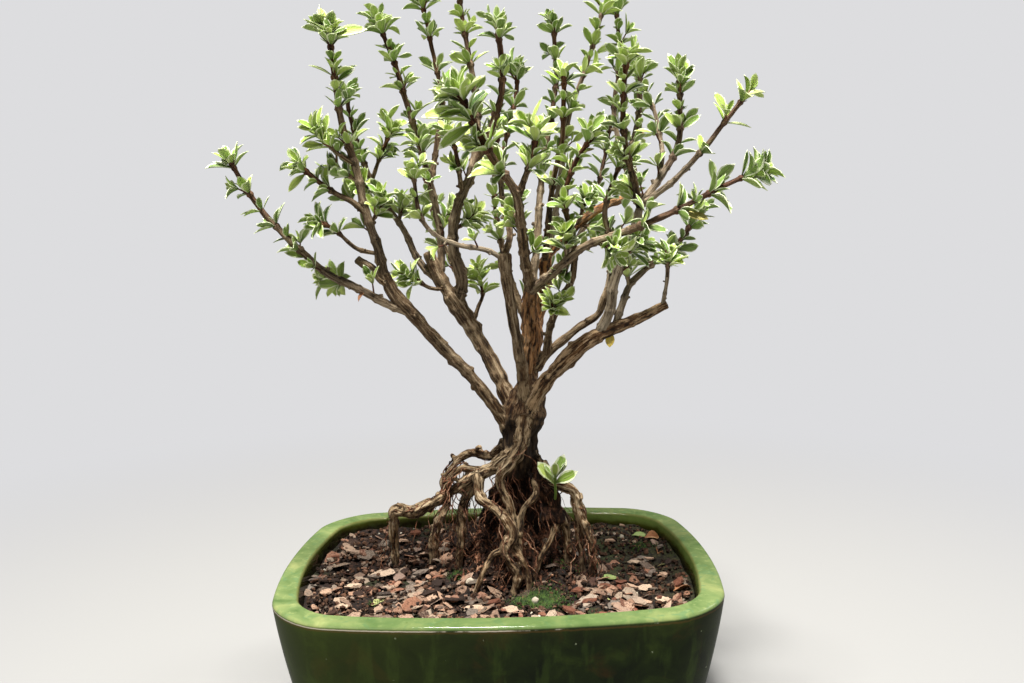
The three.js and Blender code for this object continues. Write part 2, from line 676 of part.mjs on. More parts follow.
// The blade's own directions at its root: along it, across it and out of its upper face.
function bladeFrame(limb, facing, { at, side, lean, swing }) {
  const share = Math.min(at / limb.curve.getLength(), 1);
  const { centre, tangent, outward } = stemFrame(limb, facing, share, side * Math.PI / 2 + swing);
  const along = tangent.clone().multiplyScalar(Math.cos(lean)).addScaledVector(outward, Math.sin(lean));
  const face = tangent.clone().addScaledVector(along, -tangent.dot(along)).normalize();
  return { centre, along, face, across: face.clone().cross(along) };
}

function stemFrame({ curve }, facing, share, angle) {
  const tangent = curve.getTangentAt(share);
  const first = facing.clone().addScaledVector(tangent, -facing.dot(tangent)).normalize();
  const outward = first.applyAxisAngle(tangent, angle);
  return { centre: curve.getPointAt(share), tangent, outward };
}

function onBlade({ centre, along, face, across }, x, y, z) {
  return centre.clone().addScaledVector(along, x).addScaledVector(across, y).addScaledVector(face, z);
}

function sag(share, length) {
  return -BLADE_ARCH * length * share * share;
}

// The room of a blade: a box-like hull with a gap all round.
function bladeRoom(frame, { length }) {
  const sections = [[0, 0.3], ...BLADE_SECTIONS, [1 + GAP / length, 0.1]];
  return solidOf(skin(sections.map(([share, width]) => {
    const half = length * BLADE_WIDTH_SHARE / 2 * width + GAP;
    const top = sag(share, length) + GAP;
    const bottom = top - BLADE_THICKNESS - 2 * GAP;
    const x = share * length;
    return [[half, bottom], [half, top], [-half, top], [-half, bottom]]
      .map(([y, z]) => onBlade(frame, x, y, z));
  })));
}

function sprig(limb, facing, stops, leaves) {
  const length = limb.curve.getLength();
  const points = [];
  const triangles = [];
  for (const at of stops) {
    for (let corner = 0; corner < 4; corner++) {
      const share = Math.min(at / length, 1);
      const frame = stemFrame(limb, facing, share, (corner - 0.5) * Math.PI / 2);
      points.push(frame.centre.addScaledVector(frame.outward, limb.radiusAt(share) * STEM_CORNER));
    }
  }
  for (let ring = 0; ring + 1 < stops.length; ring++) {
    for (let side = 0; side < 4; side++) {
      const a = ring * 4 + side;
      const b = ring * 4 + (side + 1) % 4;
      const leaf = leaves.find((item) => item.ring === ring && item.side === side);
      if (leaf) {
        triangles.push(...drawOut(points, [a, b, b + 4, a + 4], leaf));
      } else {
        triangles.push(a, b, b + 4, a, b + 4, a + 4);
      }
    }
  }
  const last = (stops.length - 1) * 4;
  triangles.push(0, 2, 1, 0, 3, 2, last, last + 1, last + 2, last, last + 2, last + 3);
  return solidOf(closedGeometry(points, triangles));
}

// Draws a blade out of the quad a, b, c, d, which runs right, left, upper left, upper right.
function drawOut(points, [a, b, c, d], { frame, length }) {
  const first = points.length;
  for (const [share, width] of BLADE_SECTIONS) {
    const half = length * BLADE_WIDTH_SHARE / 2 * width;
    const top = sag(share, length);
    points.push(
      onBlade(frame, share * length, -half, top),
      onBlade(frame, share * length, half, top),
      onBlade(frame, share * length, 0, top - BLADE_THICKNESS),
    );
  }
  points.push(onBlade(frame, length, 0, sag(1, length)));
  const [right, left, keel] = [first, first + 1, first + 2];
  const tip = first + 6;
  const triangles = [a, b, keel, b, c, left, c, d, right, d, a, right, b, left, keel];
  triangles.push(c, right, left, a, keel, right);
  for (const [from, to] of [[keel, left], [left, right], [right, keel]]) {
    triangles.push(from, to, to + 3, from, to + 3, from + 3, from + 3, to + 3, tip);
  }
  return triangles;
}

// The room that is taken, so that no blade of one stem runs through another stem or blade.
const taken = [];

function take(owner, solid) {
  const geometry = geometryOf(solid);
  geometry.computeBoundingBox();
  taken.push({ owner, solid, box: geometry.boundingBox });
}

function isClear(owner, solid) {
  const geometry = geometryOf(solid);
  geometry.computeBoundingBox();
  return taken.every((item) => item.owner === owner || !item.box.intersectsBox(geometry.boundingBox)
    || item.solid.intersect(solid).getMesh().numTri === 0);
}

// Where the pairs sit: spaced up the stem, then a tuft of smaller, more upright ones.
function pairsOf(start, length, leafLength, draw) {
  const pairs = [];
  for (let at = start + FIRST_PAIR; at < length - TUFT - KNUCKLE; at += PAIR_SPACING * draw(0.85, 1.15)) {
    pairs.push({ at, lean: LEAN.pair, size: leafLength });
  }
  pairs.push({ at: length - TUFT, lean: LEAN.tuft, size: leafLength });
  pairs.push({ at: length - KNUCKLE / 2, lean: LEAN.tip, size: TIP_SIZE * leafLength });
  return pairs;
}

function growSprig(name, limb, start, leafLength, draw) {
  const length = limb.curve.getLength();
  const chord = limb.curve.getPointAt(1).sub(limb.curve.getPointAt(0)).normalize();
  const facing = sideways(chord, draw(0, Math.PI));
  const stops = [start];
  const leaves = [];
  for (const [index, { at, lean, size }] of pairsOf(start, length, leafLength, draw).entries()) {
    while (at - stops[stops.length - 1] > STEM_STEP * 1.7) {
      stops.push(stops[stops.length - 1] + STEM_STEP);
    }
    stops.push(at - KNUCKLE / 2, at + KNUCKLE / 2);
    for (const side of [index % 2, index % 2 + 2]) {
      const leaf = { ring: stops.length - 2, side, at, length: size * draw(0.85, 1.1) };
      leaf.swing = radians(draw(-LEAN.swing, LEAN.swing));
      for (const tilt of LEAN_TRIES) {
        leaf.lean = radians(lean + tilt + draw(-LEAN.spread, LEAN.spread));
        leaf.frame = bladeFrame(limb, facing, leaf);
        const room = bladeRoom(leaf.frame, leaf);
        if (isClear(name, room)) {
          leaves.push(leaf);
          take(name, room);
          break;
        }
      }
    }
  }
  return sprig(limb, facing, stops, leaves);
}

// A spur leaves its limb at a slant and turns up a little.
function spurLimb({ curve, radiusAt }, { at, turn, length }) {
  const tangent = curve.getTangentAt(at);
  const out = tangent.clone().multiplyScalar(SPUR.run);
  out.addScaledVector(sideways(tangent, radians(turn)), SPUR.out);
  const root = curve.getPointAt(at);
  const tip = root.clone().addScaledVector(out, radiusAt(at) + length);
  tip.z += SPUR.rise;
  const middle = root.clone().lerp(tip, 0.5);
  middle.z -= SPUR.sag;
  return limbThrough([root, middle, tip], SPUR.radii);
}

const GLAZE = { color: 0x5f7d33, roughness: 0.25, metalness: 0 };
const SOIL_BROWN = { color: 0x3a2c24, roughness: 0.95, metalness: 0 };
const BARK = { color: 0x7a6148, roughness: 0.85, metalness: 0 };
const LEAF_GREEN = { color: 0x7da04a, roughness: 0.55, metalness: 0 };
const MESH_PLASTIC = { color: 0x1d1d1d, roughness: 0.6, metalness: 0 };

const plant = new THREE.Group();

function piece(name, solid, look) {
  const mesh = new THREE.Mesh(geometryOf(solid), new THREE.MeshStandardMaterial(look));
  mesh.name = name;
  plant.add(mesh);
  return mesh;
}

piece("pot", pot(), GLAZE);
for (const [side, x] of [["left", -DRAIN.x], ["right", DRAIN.x]]) {
  piece(`drain_screen_${side}`, screen(), MESH_PLASTIC).position.set(x, 0, POT_FLOOR + GAP);
}

// Roots, trunk, boughs and the bare lower part of each shoot have grown together: one solid.
const limbs = {};
const wood = [];
const woodRooms = [];

function growWood(limb, drawn) {
  wood.push(tube(limb, drawn));
  woodRooms.push(tube(limb, { ...drawn, extra: GAP }));
}

for (const [group, step, sides] of [[ROOTS, ROOT_STEP, 5], [BOUGHS, BOUGH_STEP, 6]]) {
  for (const [name, drawing] of Object.entries(group)) {
    limbs[name] = limbOf(drawing);
    growWood(limbs[name], { step, sides });
  }
}
for (const [name, drawing] of Object.entries(SHOOTS)) {
  limbs[name] = limbOf(drawing);
  growWood(limbs[name], { step: BARE_STEP, sides: 5, until: drawing.bare });
}
for (const room of woodRooms) {
  take("wood", room);
}
const woodRoom = join(woodRooms);
piece("roots_trunk_and_boughs", join(wood), BARK);
piece("soil", soil(woodRoom), SOIL_BROWN);

// The room of every leafy stem is kept before the first leaf looks for its own.
for (const [name, drawing] of Object.entries(SHOOTS)) {
  take(name, tube(limbs[name], { step: STEM_STEP, sides: 5, from: drawing.bare, extra: GAP }));
}
for (const [name, spur] of Object.entries(SPURS)) {
  limbs[name] = spurLimb(limbs[spur.on], spur);
  take(name, tube(limbs[name], { step: STEM_STEP, sides: 4, extra: GAP }));
}
const draw = drawer(2024);
for (const [name, { bare, leaf = LEAF_LENGTH }] of Object.entries(SHOOTS)) {
  const start = bare * limbs[name].curve.getLength() + GAP;
  piece(`shoot_${name}`, growSprig(name, limbs[name], start, leaf, draw), LEAF_GREEN);
}
for (const name of Object.keys(SPURS)) {
  const grown = growSprig(name, limbs[name], 0, LEAF_LENGTH, draw);
  piece(name, grown.subtract(woodRoom), LEAF_GREEN);
}

// The origin: under the middle of the whole part, on the surface that the feet stand on.
const part = new THREE.Group();
part.add(plant);
const extent = new THREE.Box3().setFromObject(plant);
const middle = extent.getCenter(new THREE.Vector3());
plant.position.set(-middle.x, -middle.y, -extent.min.z);

export default part;
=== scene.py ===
# %% [markdown]
# # A serissa bonsai in a green glazed pot
# A bonsai is mostly thin things: roots like knotted cord, boughs, twigs, and some fifteen hundred
# leaves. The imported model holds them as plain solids. This lesson dresses each of them in finer
# geometry and its own procedural finish, and never moves a solid. It goes from the pot up:
# pot, soil and what lies on it, wood, leafy stems, and at the end the floor and the light.
#
# Everything is built in millimetres about the middle of the pot's underside, as on a drawing, and
# one matrix carries a finished mesh into the frame, which is in metres.

import math
import random

import bmesh
import bpy
import numpy as np
from mathutils import Matrix, Vector, noise
from mathutils.geometry import interpolate_bezier


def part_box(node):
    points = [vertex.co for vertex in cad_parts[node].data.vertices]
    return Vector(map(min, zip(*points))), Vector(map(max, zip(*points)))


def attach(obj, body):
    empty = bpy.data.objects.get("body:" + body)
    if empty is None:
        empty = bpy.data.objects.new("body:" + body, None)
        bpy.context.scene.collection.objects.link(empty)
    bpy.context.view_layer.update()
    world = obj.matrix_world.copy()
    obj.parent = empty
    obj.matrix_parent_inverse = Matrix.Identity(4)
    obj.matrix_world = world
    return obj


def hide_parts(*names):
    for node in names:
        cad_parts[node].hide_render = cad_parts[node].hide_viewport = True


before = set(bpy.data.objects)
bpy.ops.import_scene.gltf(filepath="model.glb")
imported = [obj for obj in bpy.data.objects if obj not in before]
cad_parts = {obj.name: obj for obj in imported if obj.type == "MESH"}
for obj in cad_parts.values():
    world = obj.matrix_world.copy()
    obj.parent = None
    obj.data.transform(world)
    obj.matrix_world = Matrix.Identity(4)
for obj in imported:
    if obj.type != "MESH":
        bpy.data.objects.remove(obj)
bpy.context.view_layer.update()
scene = bpy.context.scene
MM = 0.001

pot_low, pot_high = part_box("pot")
pot_middle = Vector(((pot_low.x + pot_high.x) / 2, (pot_low.y + pot_high.y) / 2, pot_low.z))
TO_FRAME = Matrix.Translation(pot_middle) @ Matrix.Scale(MM, 4)
TO_BENCH = TO_FRAME.inverted()
print("CAD nodes:", len(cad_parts), "pot:", [round(x / MM) for x in pot_high - pot_low], "mm")

# %% [markdown]
# ## The camera
# The photograph was taken from about forty centimetres in front of the pot, level with the lowest
# leaves, with the camera tipped down by six degrees and rolled by less than one. The same eye
# stands behind every drawing in this file: a point of a limb is given as it lies on a picture
# plane, across and up in millimetres, with its depth behind the pot's middle.

# %% Eye and picture plane
EYE = Vector((3, -420, 230))
EYE_FALLS = math.radians(6.02)
EYE_TURNS = math.radians(0.74)
EYE_ROLLS = math.radians(-0.94)
PICTURE_DISTANCE = 417.5
PICTURE_WIDTH = 512
SENSOR = 36
NEAREST, FARTHEST = 0.01, 20  # metres

forward = Vector((math.sin(EYE_TURNS) * math.cos(EYE_FALLS),
                  math.cos(EYE_TURNS) * math.cos(EYE_FALLS),
                  -math.sin(EYE_FALLS)))
level = forward.cross(Vector((0, 0, 1))).normalized()
rightward = level * math.cos(EYE_ROLLS) + level.cross(forward) * math.sin(EYE_ROLLS)
upward = rightward.cross(forward)


def sight(across, up):
    """The sight line through a point of the picture plane."""
    return forward * PICTURE_DISTANCE + rightward * across + upward * up


def place(drawn):
    """The place of a drawn point: its sight line, met with the upright plane at its depth."""
    across, up, depth = drawn
    line = sight(across, up)
    return EYE + line * ((depth - EYE.y) / line.y)


lens = bpy.data.cameras.new("photograph_view")
lens.sensor_width = SENSOR
lens.lens = SENSOR * PICTURE_DISTANCE / PICTURE_WIDTH
lens.clip_start, lens.clip_end = NEAREST, FARTHEST
camera = bpy.data.objects.new("photograph_view", lens)
scene.collection.objects.link(camera)
turned = Matrix((rightward, upward, -forward)).transposed().to_4x4()
camera.matrix_world = Matrix.Translation(TO_FRAME @ EYE) @ turned
scene.camera = camera
scene.view_settings.view_transform = "Standard"
print("focal length", round(lens.lens, 2), "mm")

# %% [markdown]
# ## Finishes as arithmetic
# A procedural finish is arithmetic on patterns: darker where a noise is low, rougher where it is
# dusty. Wiring dozens of Math nodes by hand hides that. So a Flow wraps a node's output, and an
# expression such as `1 - mask * 0.4` adds the nodes for it. A Finish holds one material and one
# method, node(), through which every other node is made.

# %% The expression helper
class Flow:
    """A node's output that can be used in arithmetic."""

    def __init__(self, finish, socket):
        self.finish, self.socket = finish, socket

    def __add__(self, other):
        return self.finish.math("ADD", self, other)

    def __sub__(self, other):
        return self.finish.math("SUBTRACT", self, other)

    def __rsub__(self, other):
        return self.finish.math("SUBTRACT", other, self)

    def __mul__(self, other):
        return self.finish.math("MULTIPLY", self, other)

    __radd__, __rmul__ = __add__, __mul__


def paint(code):
    """A screen colour such as 0x5f7d33, as the linear colour that shaders use."""
    parts = [(code >> shift & 255) / 255 for shift in (16, 8, 0)]
    return (*[part / 12.92 if part <= 0.04045 else ((part + 0.055) / 1.055) ** 2.4 for part in parts], 1)


class Finish:
    """One procedural material."""

    def __init__(self, name):
        self.material = bpy.data.materials.new(name)
        self.material.use_nodes = True
        self.tree = self.material.node_tree
        self.tree.nodes.clear()

    def node(self, kind, settings=None, values=None, output=0):
        node = self.tree.nodes.new("ShaderNode" + kind)
        for key, value in (settings or {}).items():
            if key == "stops":
                for _ in range(len(value) - 2):
                    node.color_ramp.elements.new(0.5)
                for stop, (position, colour) in zip(node.color_ramp.elements, value):
                    stop.position, stop.color = position, colour
            else:
                setattr(node, key, value)
        for key, value in (values or {}).items():
            if isinstance(value, Flow):
                self.tree.links.new(value.socket, node.inputs[key])
            else:
                node.inputs[key].default_value = value
        return Flow(self, node.outputs[output]) if node.outputs else None

    def math(self, operation, *values):
        return self.node("Math", {"operation": operation}, dict(enumerate(values)))

    def between(self, value, low, high):
        """0 below low, 1 above high and a smooth step between them."""
        settings = {"interpolation_type": "SMOOTHSTEP"}
        return self.node("MapRange", settings, {0: value, 1: low, 2: high})

    def band(self, value, rise, full, fall, gone):
        """1 from full to fall, and 0 before rise and after gone."""
        return self.between(value, rise, full) * (1 - self.between(value, fall, gone))

    def mix(self, share, below, above):
        return self.node("Mix", {"data_type": "RGBA"}, {0: share, 6: below, 7: above}, 2)

    def wash(self, below, share, code):
        """A colour with a share of one plain screen colour over it."""
        return self.mix(share, below, paint(code))

    def ramp(self, value, *stops):
        stops = [(position, paint(code)) for position, code in stops]
        return self.node("ValToRGB", {"stops": stops}, {0: value})

    def where(self):
        """The place on the piece, in metres."""
        return self.node("TexCoord", output="Object")

    def mark(self, name, output="Fac"):
        """What the modelling wrote at each vertex under this name."""
        return self.node("Attribute", {"attribute_name": name}, output=output)

    def parts(self, name):
        """The three numbers of a vector mark."""
        split = self.node("SeparateXYZ", values={0: self.mark(name, "Vector")}).socket.node
        return [Flow(self, output) for output in split.outputs]

    def squeezed(self, at, upward):
        """Places squeezed along the third axis, so that a pattern is drawn out along it."""
        return self.node("Mapping", values={"Vector": at, "Scale": (1, 1, upward)})

    def noise(self, at, scale, detail=4, roughness=0.55, warp=0):
        return self.node("TexNoise", values={"Vector": at, "Scale": scale, "Detail": detail,
                                             "Roughness": roughness, "Distortion": warp})

    def cells(self, at, scale):
        """How far the nearest of many scattered points lies."""
        return self.node("TexVoronoi", values={"Vector": at, "Scale": scale})

    def dress(self, colour, roughness, relief=None, depth=0.0002, **constants):
        """The shader. Relief is a height from 0 to 1 and depth how far that is, in metres."""
        values = {"Base Color": colour, "Roughness": roughness}
        if relief is not None:
            bump = {"Height": relief, "Distance": depth, "Strength": 1}
            values["Normal"] = self.node("Bump", values=bump)
        values.update({key.replace("_", " "): value for key, value in constants.items()})
        shader = self.node("BsdfPrincipled", values=values)
        self.node("OutputMaterial", values={"Surface": shader})
        return self.material


def per(millimetres):
    """The scale that makes a pattern in metres repeat about every so many millimetres."""
    return 1 / (millimetres * MM)


# %% [markdown]
# ## Pieces
# A finished mesh gets its finishes, is carried into the frame, rides on the part's only body, and
# hides the CAD nodes it stands for. Smooth shading with sharp edges kept above an angle gives a
# round limb and a crisp chip of bark from the same function.

# %% From a mesh on the bench to a piece in the frame
made = {}


def keep(name, mesh, finishes, replaced=(), crease=60):
    """Makes a mesh a piece of the part; edges sharper than crease, in degrees, stay sharp."""
    mesh.transform(TO_FRAME)
    for finish in finishes:
        mesh.materials.append(finish)
    mesh.shade_smooth()
    mesh.set_sharp_from_angle(angle=math.radians(crease))
    piece = bpy.data.objects.new(name, mesh)
    scene.collection.objects.link(piece)
    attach(piece, "root")
    if replaced:
        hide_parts(*replaced)
    made[name] = sum(len(face.vertices) - 2 for face in mesh.polygons)
    print(name, "has", made[name], "triangles")


def mesh_of(name, bm):
    """The mesh of a bmesh, which is freed."""
    mesh = bpy.data.meshes.new(name)
    bm.to_mesh(mesh)
    bm.free()
    return mesh


def stamp(bm, shape, matrix, material=0, **marks):
    """Adds a copy of a small shape to a mesh in the making, with its marks on every vertex."""
    verts, faces = len(bm.verts), len(bm.faces)
    bm.from_mesh(shape)
    bm.verts.ensure_lookup_table()
    bm.faces.ensure_lookup_table()
    fresh = bm.verts[verts:]
    bmesh.ops.transform(bm, matrix=matrix, verts=fresh)
    for name, value in marks.items():
        layer = bm.verts.layers.float_vector[name]
        for vert in fresh:
            vert[layer] = value
    for face in bm.faces[faces:]:
        face.material_index = material


def marked(*names):
    """An empty bmesh that can hold vector marks of these names."""
    bm = bmesh.new()
    for name in names:
        bm.verts.layers.float_vector.new(name)
    return bm


def write_mark(mesh, name, values):
    """Writes one vector for each vertex."""
    layer = mesh.attributes.get(name) or mesh.attributes.new(name, "FLOAT_VECTOR", "POINT")
    layer.data.foreach_set("vector", np.asarray(values, np.float32).ravel())


def soften(bm, edges, offset, segments=1):
    """Bevels edges of a small shape."""
    bmesh.ops.bevel(bm, geom=edges, offset=offset, segments=segments, affect="EDGES", profile=0.5,
                    material=-1)


def climb(edge):
    """How much higher one end of an edge is than the other."""
    return abs(edge.verts[0].co.z - edge.verts[1].co.z)


# %% [markdown]
# ## The pot
# The pot is a cast bowl with a thick flat rim. In plan it is a rectangle with round corners and
# slightly bowed sides, and its wall leans in more and more toward the foot. It could be a box with
# bevels, but then the bow and the lean would fight the bevels. Here one outline is repeated at each
# height of the profile and the loops are bridged, as a potter's rib shapes a wall.

# %% The pot's outline
POT_WIDTH, POT_DEPTH, POT_HEIGHT = 198, 148, 74
POT_CORNER, POT_BOW, CORNER_TIGHTENING = 24, 9.5, 0.9
CORNER_STEPS, SIDE_STEPS = 12, 14
CORNERS = ((1, 1), (-1, 1), (-1, -1), (1, -1))


def pot_outline(inset, height):
    """The outline drawn in from the rim's edge, its corners as arcs and its sides bowed."""
    half_x, half_y = POT_WIDTH / 2 - inset, POT_DEPTH / 2 - inset
    corner = POT_CORNER - CORNER_TIGHTENING * inset
    arcs = []
    for turn, (x, y) in enumerate(CORNERS):
        middle = Vector((x * (half_x - corner), y * (half_y - corner)))
        angles = [(turn + step / CORNER_STEPS) * math.pi / 2 for step in range(CORNER_STEPS + 1)]
        arcs.append([middle + corner * Vector((math.cos(a), math.sin(a))) for a in angles])
    square = []
    for arc, following in zip(arcs, arcs[1:] + arcs[:1]):
        square += arc + [arc[-1].lerp(following[0], step / SIDE_STEPS) for step in range(1, SIDE_STEPS)]
    outline = []
    for x, y in square:
        bow_x = POT_BOW * (1 - (y / half_y) ** 2) * min(abs(x) / half_x, 1)
        bow_y = POT_BOW * (1 - (x / half_x) ** 2) * min(abs(y) / half_y, 1)
        outline.append(Vector((x + math.copysign(bow_x, x), y + math.copysign(bow_y, y), height)))
    return outline


def ring(bm, places):
    """A closed loop of edges through these places."""
    verts = [bm.verts.new(spot) for spot in places]
    return [bm.edges.new(pair) for pair in zip(verts, verts[1:] + verts[:1])]


# %% [markdown]
# The profile goes from the underside up the outside, round the edge of the rim, across it and down
# the inside to the floor. Each loop is marked with how far along the profile it lies, measured from
# the rim's outer edge, because a glaze runs: it is thin and light on the rim, breaks brown just
# under the edge, and pools dark green on the wall.

# %% The pot's profile
RIM_WIDTH, RIM_ROUND = 10.4, 1.8
WALL_LEAN, WALL_CURVE, WALL_THICKNESS = 0.12, 0.0013, 8.4
BASE_ROUND, FOOT_HEIGHT, FLOOR_THICKNESS = 4, 5.5, 7
POT_FLOOR = FOOT_HEIGHT + FLOOR_THICKNESS
RIM_SHOULDER = POT_HEIGHT - RIM_ROUND
ROUND_STEPS, WALL_STEPS, RIM_STEPS = 5, 14, 4


def wall_inset(height):
    """How far the outer wall has leaned in at a height."""
    below = max(RIM_SHOULDER - height, 0)
    return WALL_LEAN * below + WALL_CURVE * below ** 2


def inner_inset(height):
    """Inside, the wall runs straight from the rim's inner edge to the floor."""
    share = (RIM_SHOULDER - height) / (RIM_SHOULDER - POT_FLOOR)
    return RIM_WIDTH + (wall_inset(POT_FLOOR) + WALL_THICKNESS - RIM_WIDTH) * share


def pot_profile():
    """Inset and height of every loop, from the underside to the floor inside."""
    quarter = [step / ROUND_STEPS * math.pi / 2 for step in range(ROUND_STEPS + 1)]
    profile = []
    for angle in quarter:
        height = FOOT_HEIGHT + BASE_ROUND * (1 - math.cos(angle))
        profile.append((wall_inset(height) + BASE_ROUND * (1 - math.sin(angle)), height))
    low = FOOT_HEIGHT + BASE_ROUND
    for step in range(1, WALL_STEPS + 1):
        height = low + (RIM_SHOULDER - low) * step / WALL_STEPS
        profile.append((wall_inset(height), height))
    for angle in quarter[1:]:
        edge = RIM_ROUND * (1 - math.cos(angle))
        profile.append((edge, RIM_SHOULDER + RIM_ROUND * math.sin(angle)))
    for step in range(1, RIM_STEPS):
        profile.append((RIM_ROUND + (RIM_WIDTH - 2 * RIM_ROUND) * step / RIM_STEPS, POT_HEIGHT))
    for angle in quarter:
        edge = RIM_WIDTH - RIM_ROUND * (1 - math.sin(angle))
        profile.append((edge, RIM_SHOULDER + RIM_ROUND * math.cos(angle)))
    for step in range(1, WALL_STEPS + 1):
        height = RIM_SHOULDER + (POT_FLOOR - RIM_SHOULDER) * step / WALL_STEPS
        profile.append((inner_inset(height), height))
    return profile


profile = pot_profile()
print("the pot's profile has", len(profile), "loops of", len(pot_outline(0, 0)), "points")

# %% [markdown]
# The underside and the floor are plain fills with two drain holes, and four low feet stand under
# them. The photograph's edge cuts the pot's base off, so its feet and holes are the usual ones.
# A hand-made wall is never quite even, so a slow noise moves every vertex by a fraction of a
# millimetre: it shows in how the glaze mirrors the room.

# %% The pot's mesh
FOOT_LONG, FOOT_WIDE, FOOT_ROUND, FOOT_X, FOOT_Y = 26, 15, 5, 52, 29
FOOT_SOLE_ROUND = 0.8
DRAIN_RADIUS, DRAIN_X, DRAIN_SIDES = 7, 34, 24
WAVE_LENGTH, WAVE_HEIGHT, FLAT_UNDERSIDE = 38, 0.22, 1
rim_edge = next(index for index, (inset, height) in enumerate(profile)
                if inset > 0 and height > RIM_SHOULDER)


def foot_shape():
    bm = bmesh.new()
    bmesh.ops.create_cube(bm, size=1)
    top = FOOT_HEIGHT + BASE_ROUND / 2
    bmesh.ops.scale(bm, vec=(FOOT_LONG, FOOT_WIDE, top), verts=bm.verts)
    bmesh.ops.translate(bm, vec=(0, 0, top / 2), verts=bm.verts)
    soften(bm, [edge for edge in bm.edges if climb(edge) > top / 2], FOOT_ROUND, 6)
    sole = [edge for edge in bm.edges if all(vert.co.z < top / 2 for vert in edge.verts)]
    soften(bm, sole, FOOT_SOLE_ROUND, 2)
    return mesh_of("foot", bm)


def pot_mesh():
    bm = marked("glaze")
    glaze = bm.verts.layers.float_vector["glaze"]
    loops, reach = [], 0
    for index, (inset, height) in enumerate(profile):
        if index:
            reach += math.dist(profile[index - 1], (inset, height))
        loops.append(ring(bm, pot_outline(inset, height)))
        for edge in loops[-1]:
            edge.verts[0][glaze] = (reach, 0, 0)
        if index == rim_edge:
            edge_reach = reach
    for vert in bm.verts:
        vert[glaze] = (vert[glaze][0] - edge_reach, *vert.co.xy)
    for lower, upper in zip(loops, loops[1:]):
        bmesh.ops.bridge_loops(bm, edges=lower + upper)
    drains = []
    angles = [2 * math.pi * side / DRAIN_SIDES for side in range(DRAIN_SIDES)]
    for loop, height in ((loops[0], FOOT_HEIGHT), (loops[-1], POT_FLOOR)):
        holes = []
        for x in (-DRAIN_X, DRAIN_X):
            holes.append(ring(bm, [(x + DRAIN_RADIUS * math.cos(a), DRAIN_RADIUS * math.sin(a), height)
                                   for a in angles]))
        bmesh.ops.triangle_fill(bm, use_beauty=True, edges=loop + holes[0] + holes[1])
        drains.append(holes)
    for under, above in zip(*drains):
        bmesh.ops.bridge_loops(bm, edges=under + above)
    for vert in bm.verts:
        if vert.co.z > FOOT_HEIGHT + FLAT_UNDERSIDE:
            vert.co += noise.noise_vector(vert.co / WAVE_LENGTH) * WAVE_HEIGHT
    bmesh.ops.recalc_face_normals(bm, faces=bm.faces)
    foot = foot_shape()
    for x, y in CORNERS:
        spot = Matrix.Translation((x * FOOT_X, y * FOOT_Y, 0))
        stamp(bm, foot, spot, glaze=(-POT_HEIGHT, 0, 0))
    return mesh_of("glazed_pot", bm)


# %% [markdown]
# The glaze is a copper green. On the rim it is a light yellow-green with soft blotches of lime and
# turquoise, and painted shade darkens it toward the back and in the front middle, under the crown.
# On the rim's edge it has run off to a thin pale line, which also carries a painted highlight, mostly
# at the left, and just under it broke brown over the clay. The outer wall is a deep bottle green with
# olive and brown clouds and a few pale pinholes, and it is painted lighter toward the left, as light
# falls there. The inside is a mid green that darkens toward the soil, partly soil stain and partly
# painted shade, and painted shade also darkens it at the left. The foot is bare, rough clay.

# %% The glaze
RIM_COLOURS = (0x4e6338, 0x69794a, 0x848b58)
WALL_COLOURS = (0x0b1403, 0x1a2508, 0x344215)


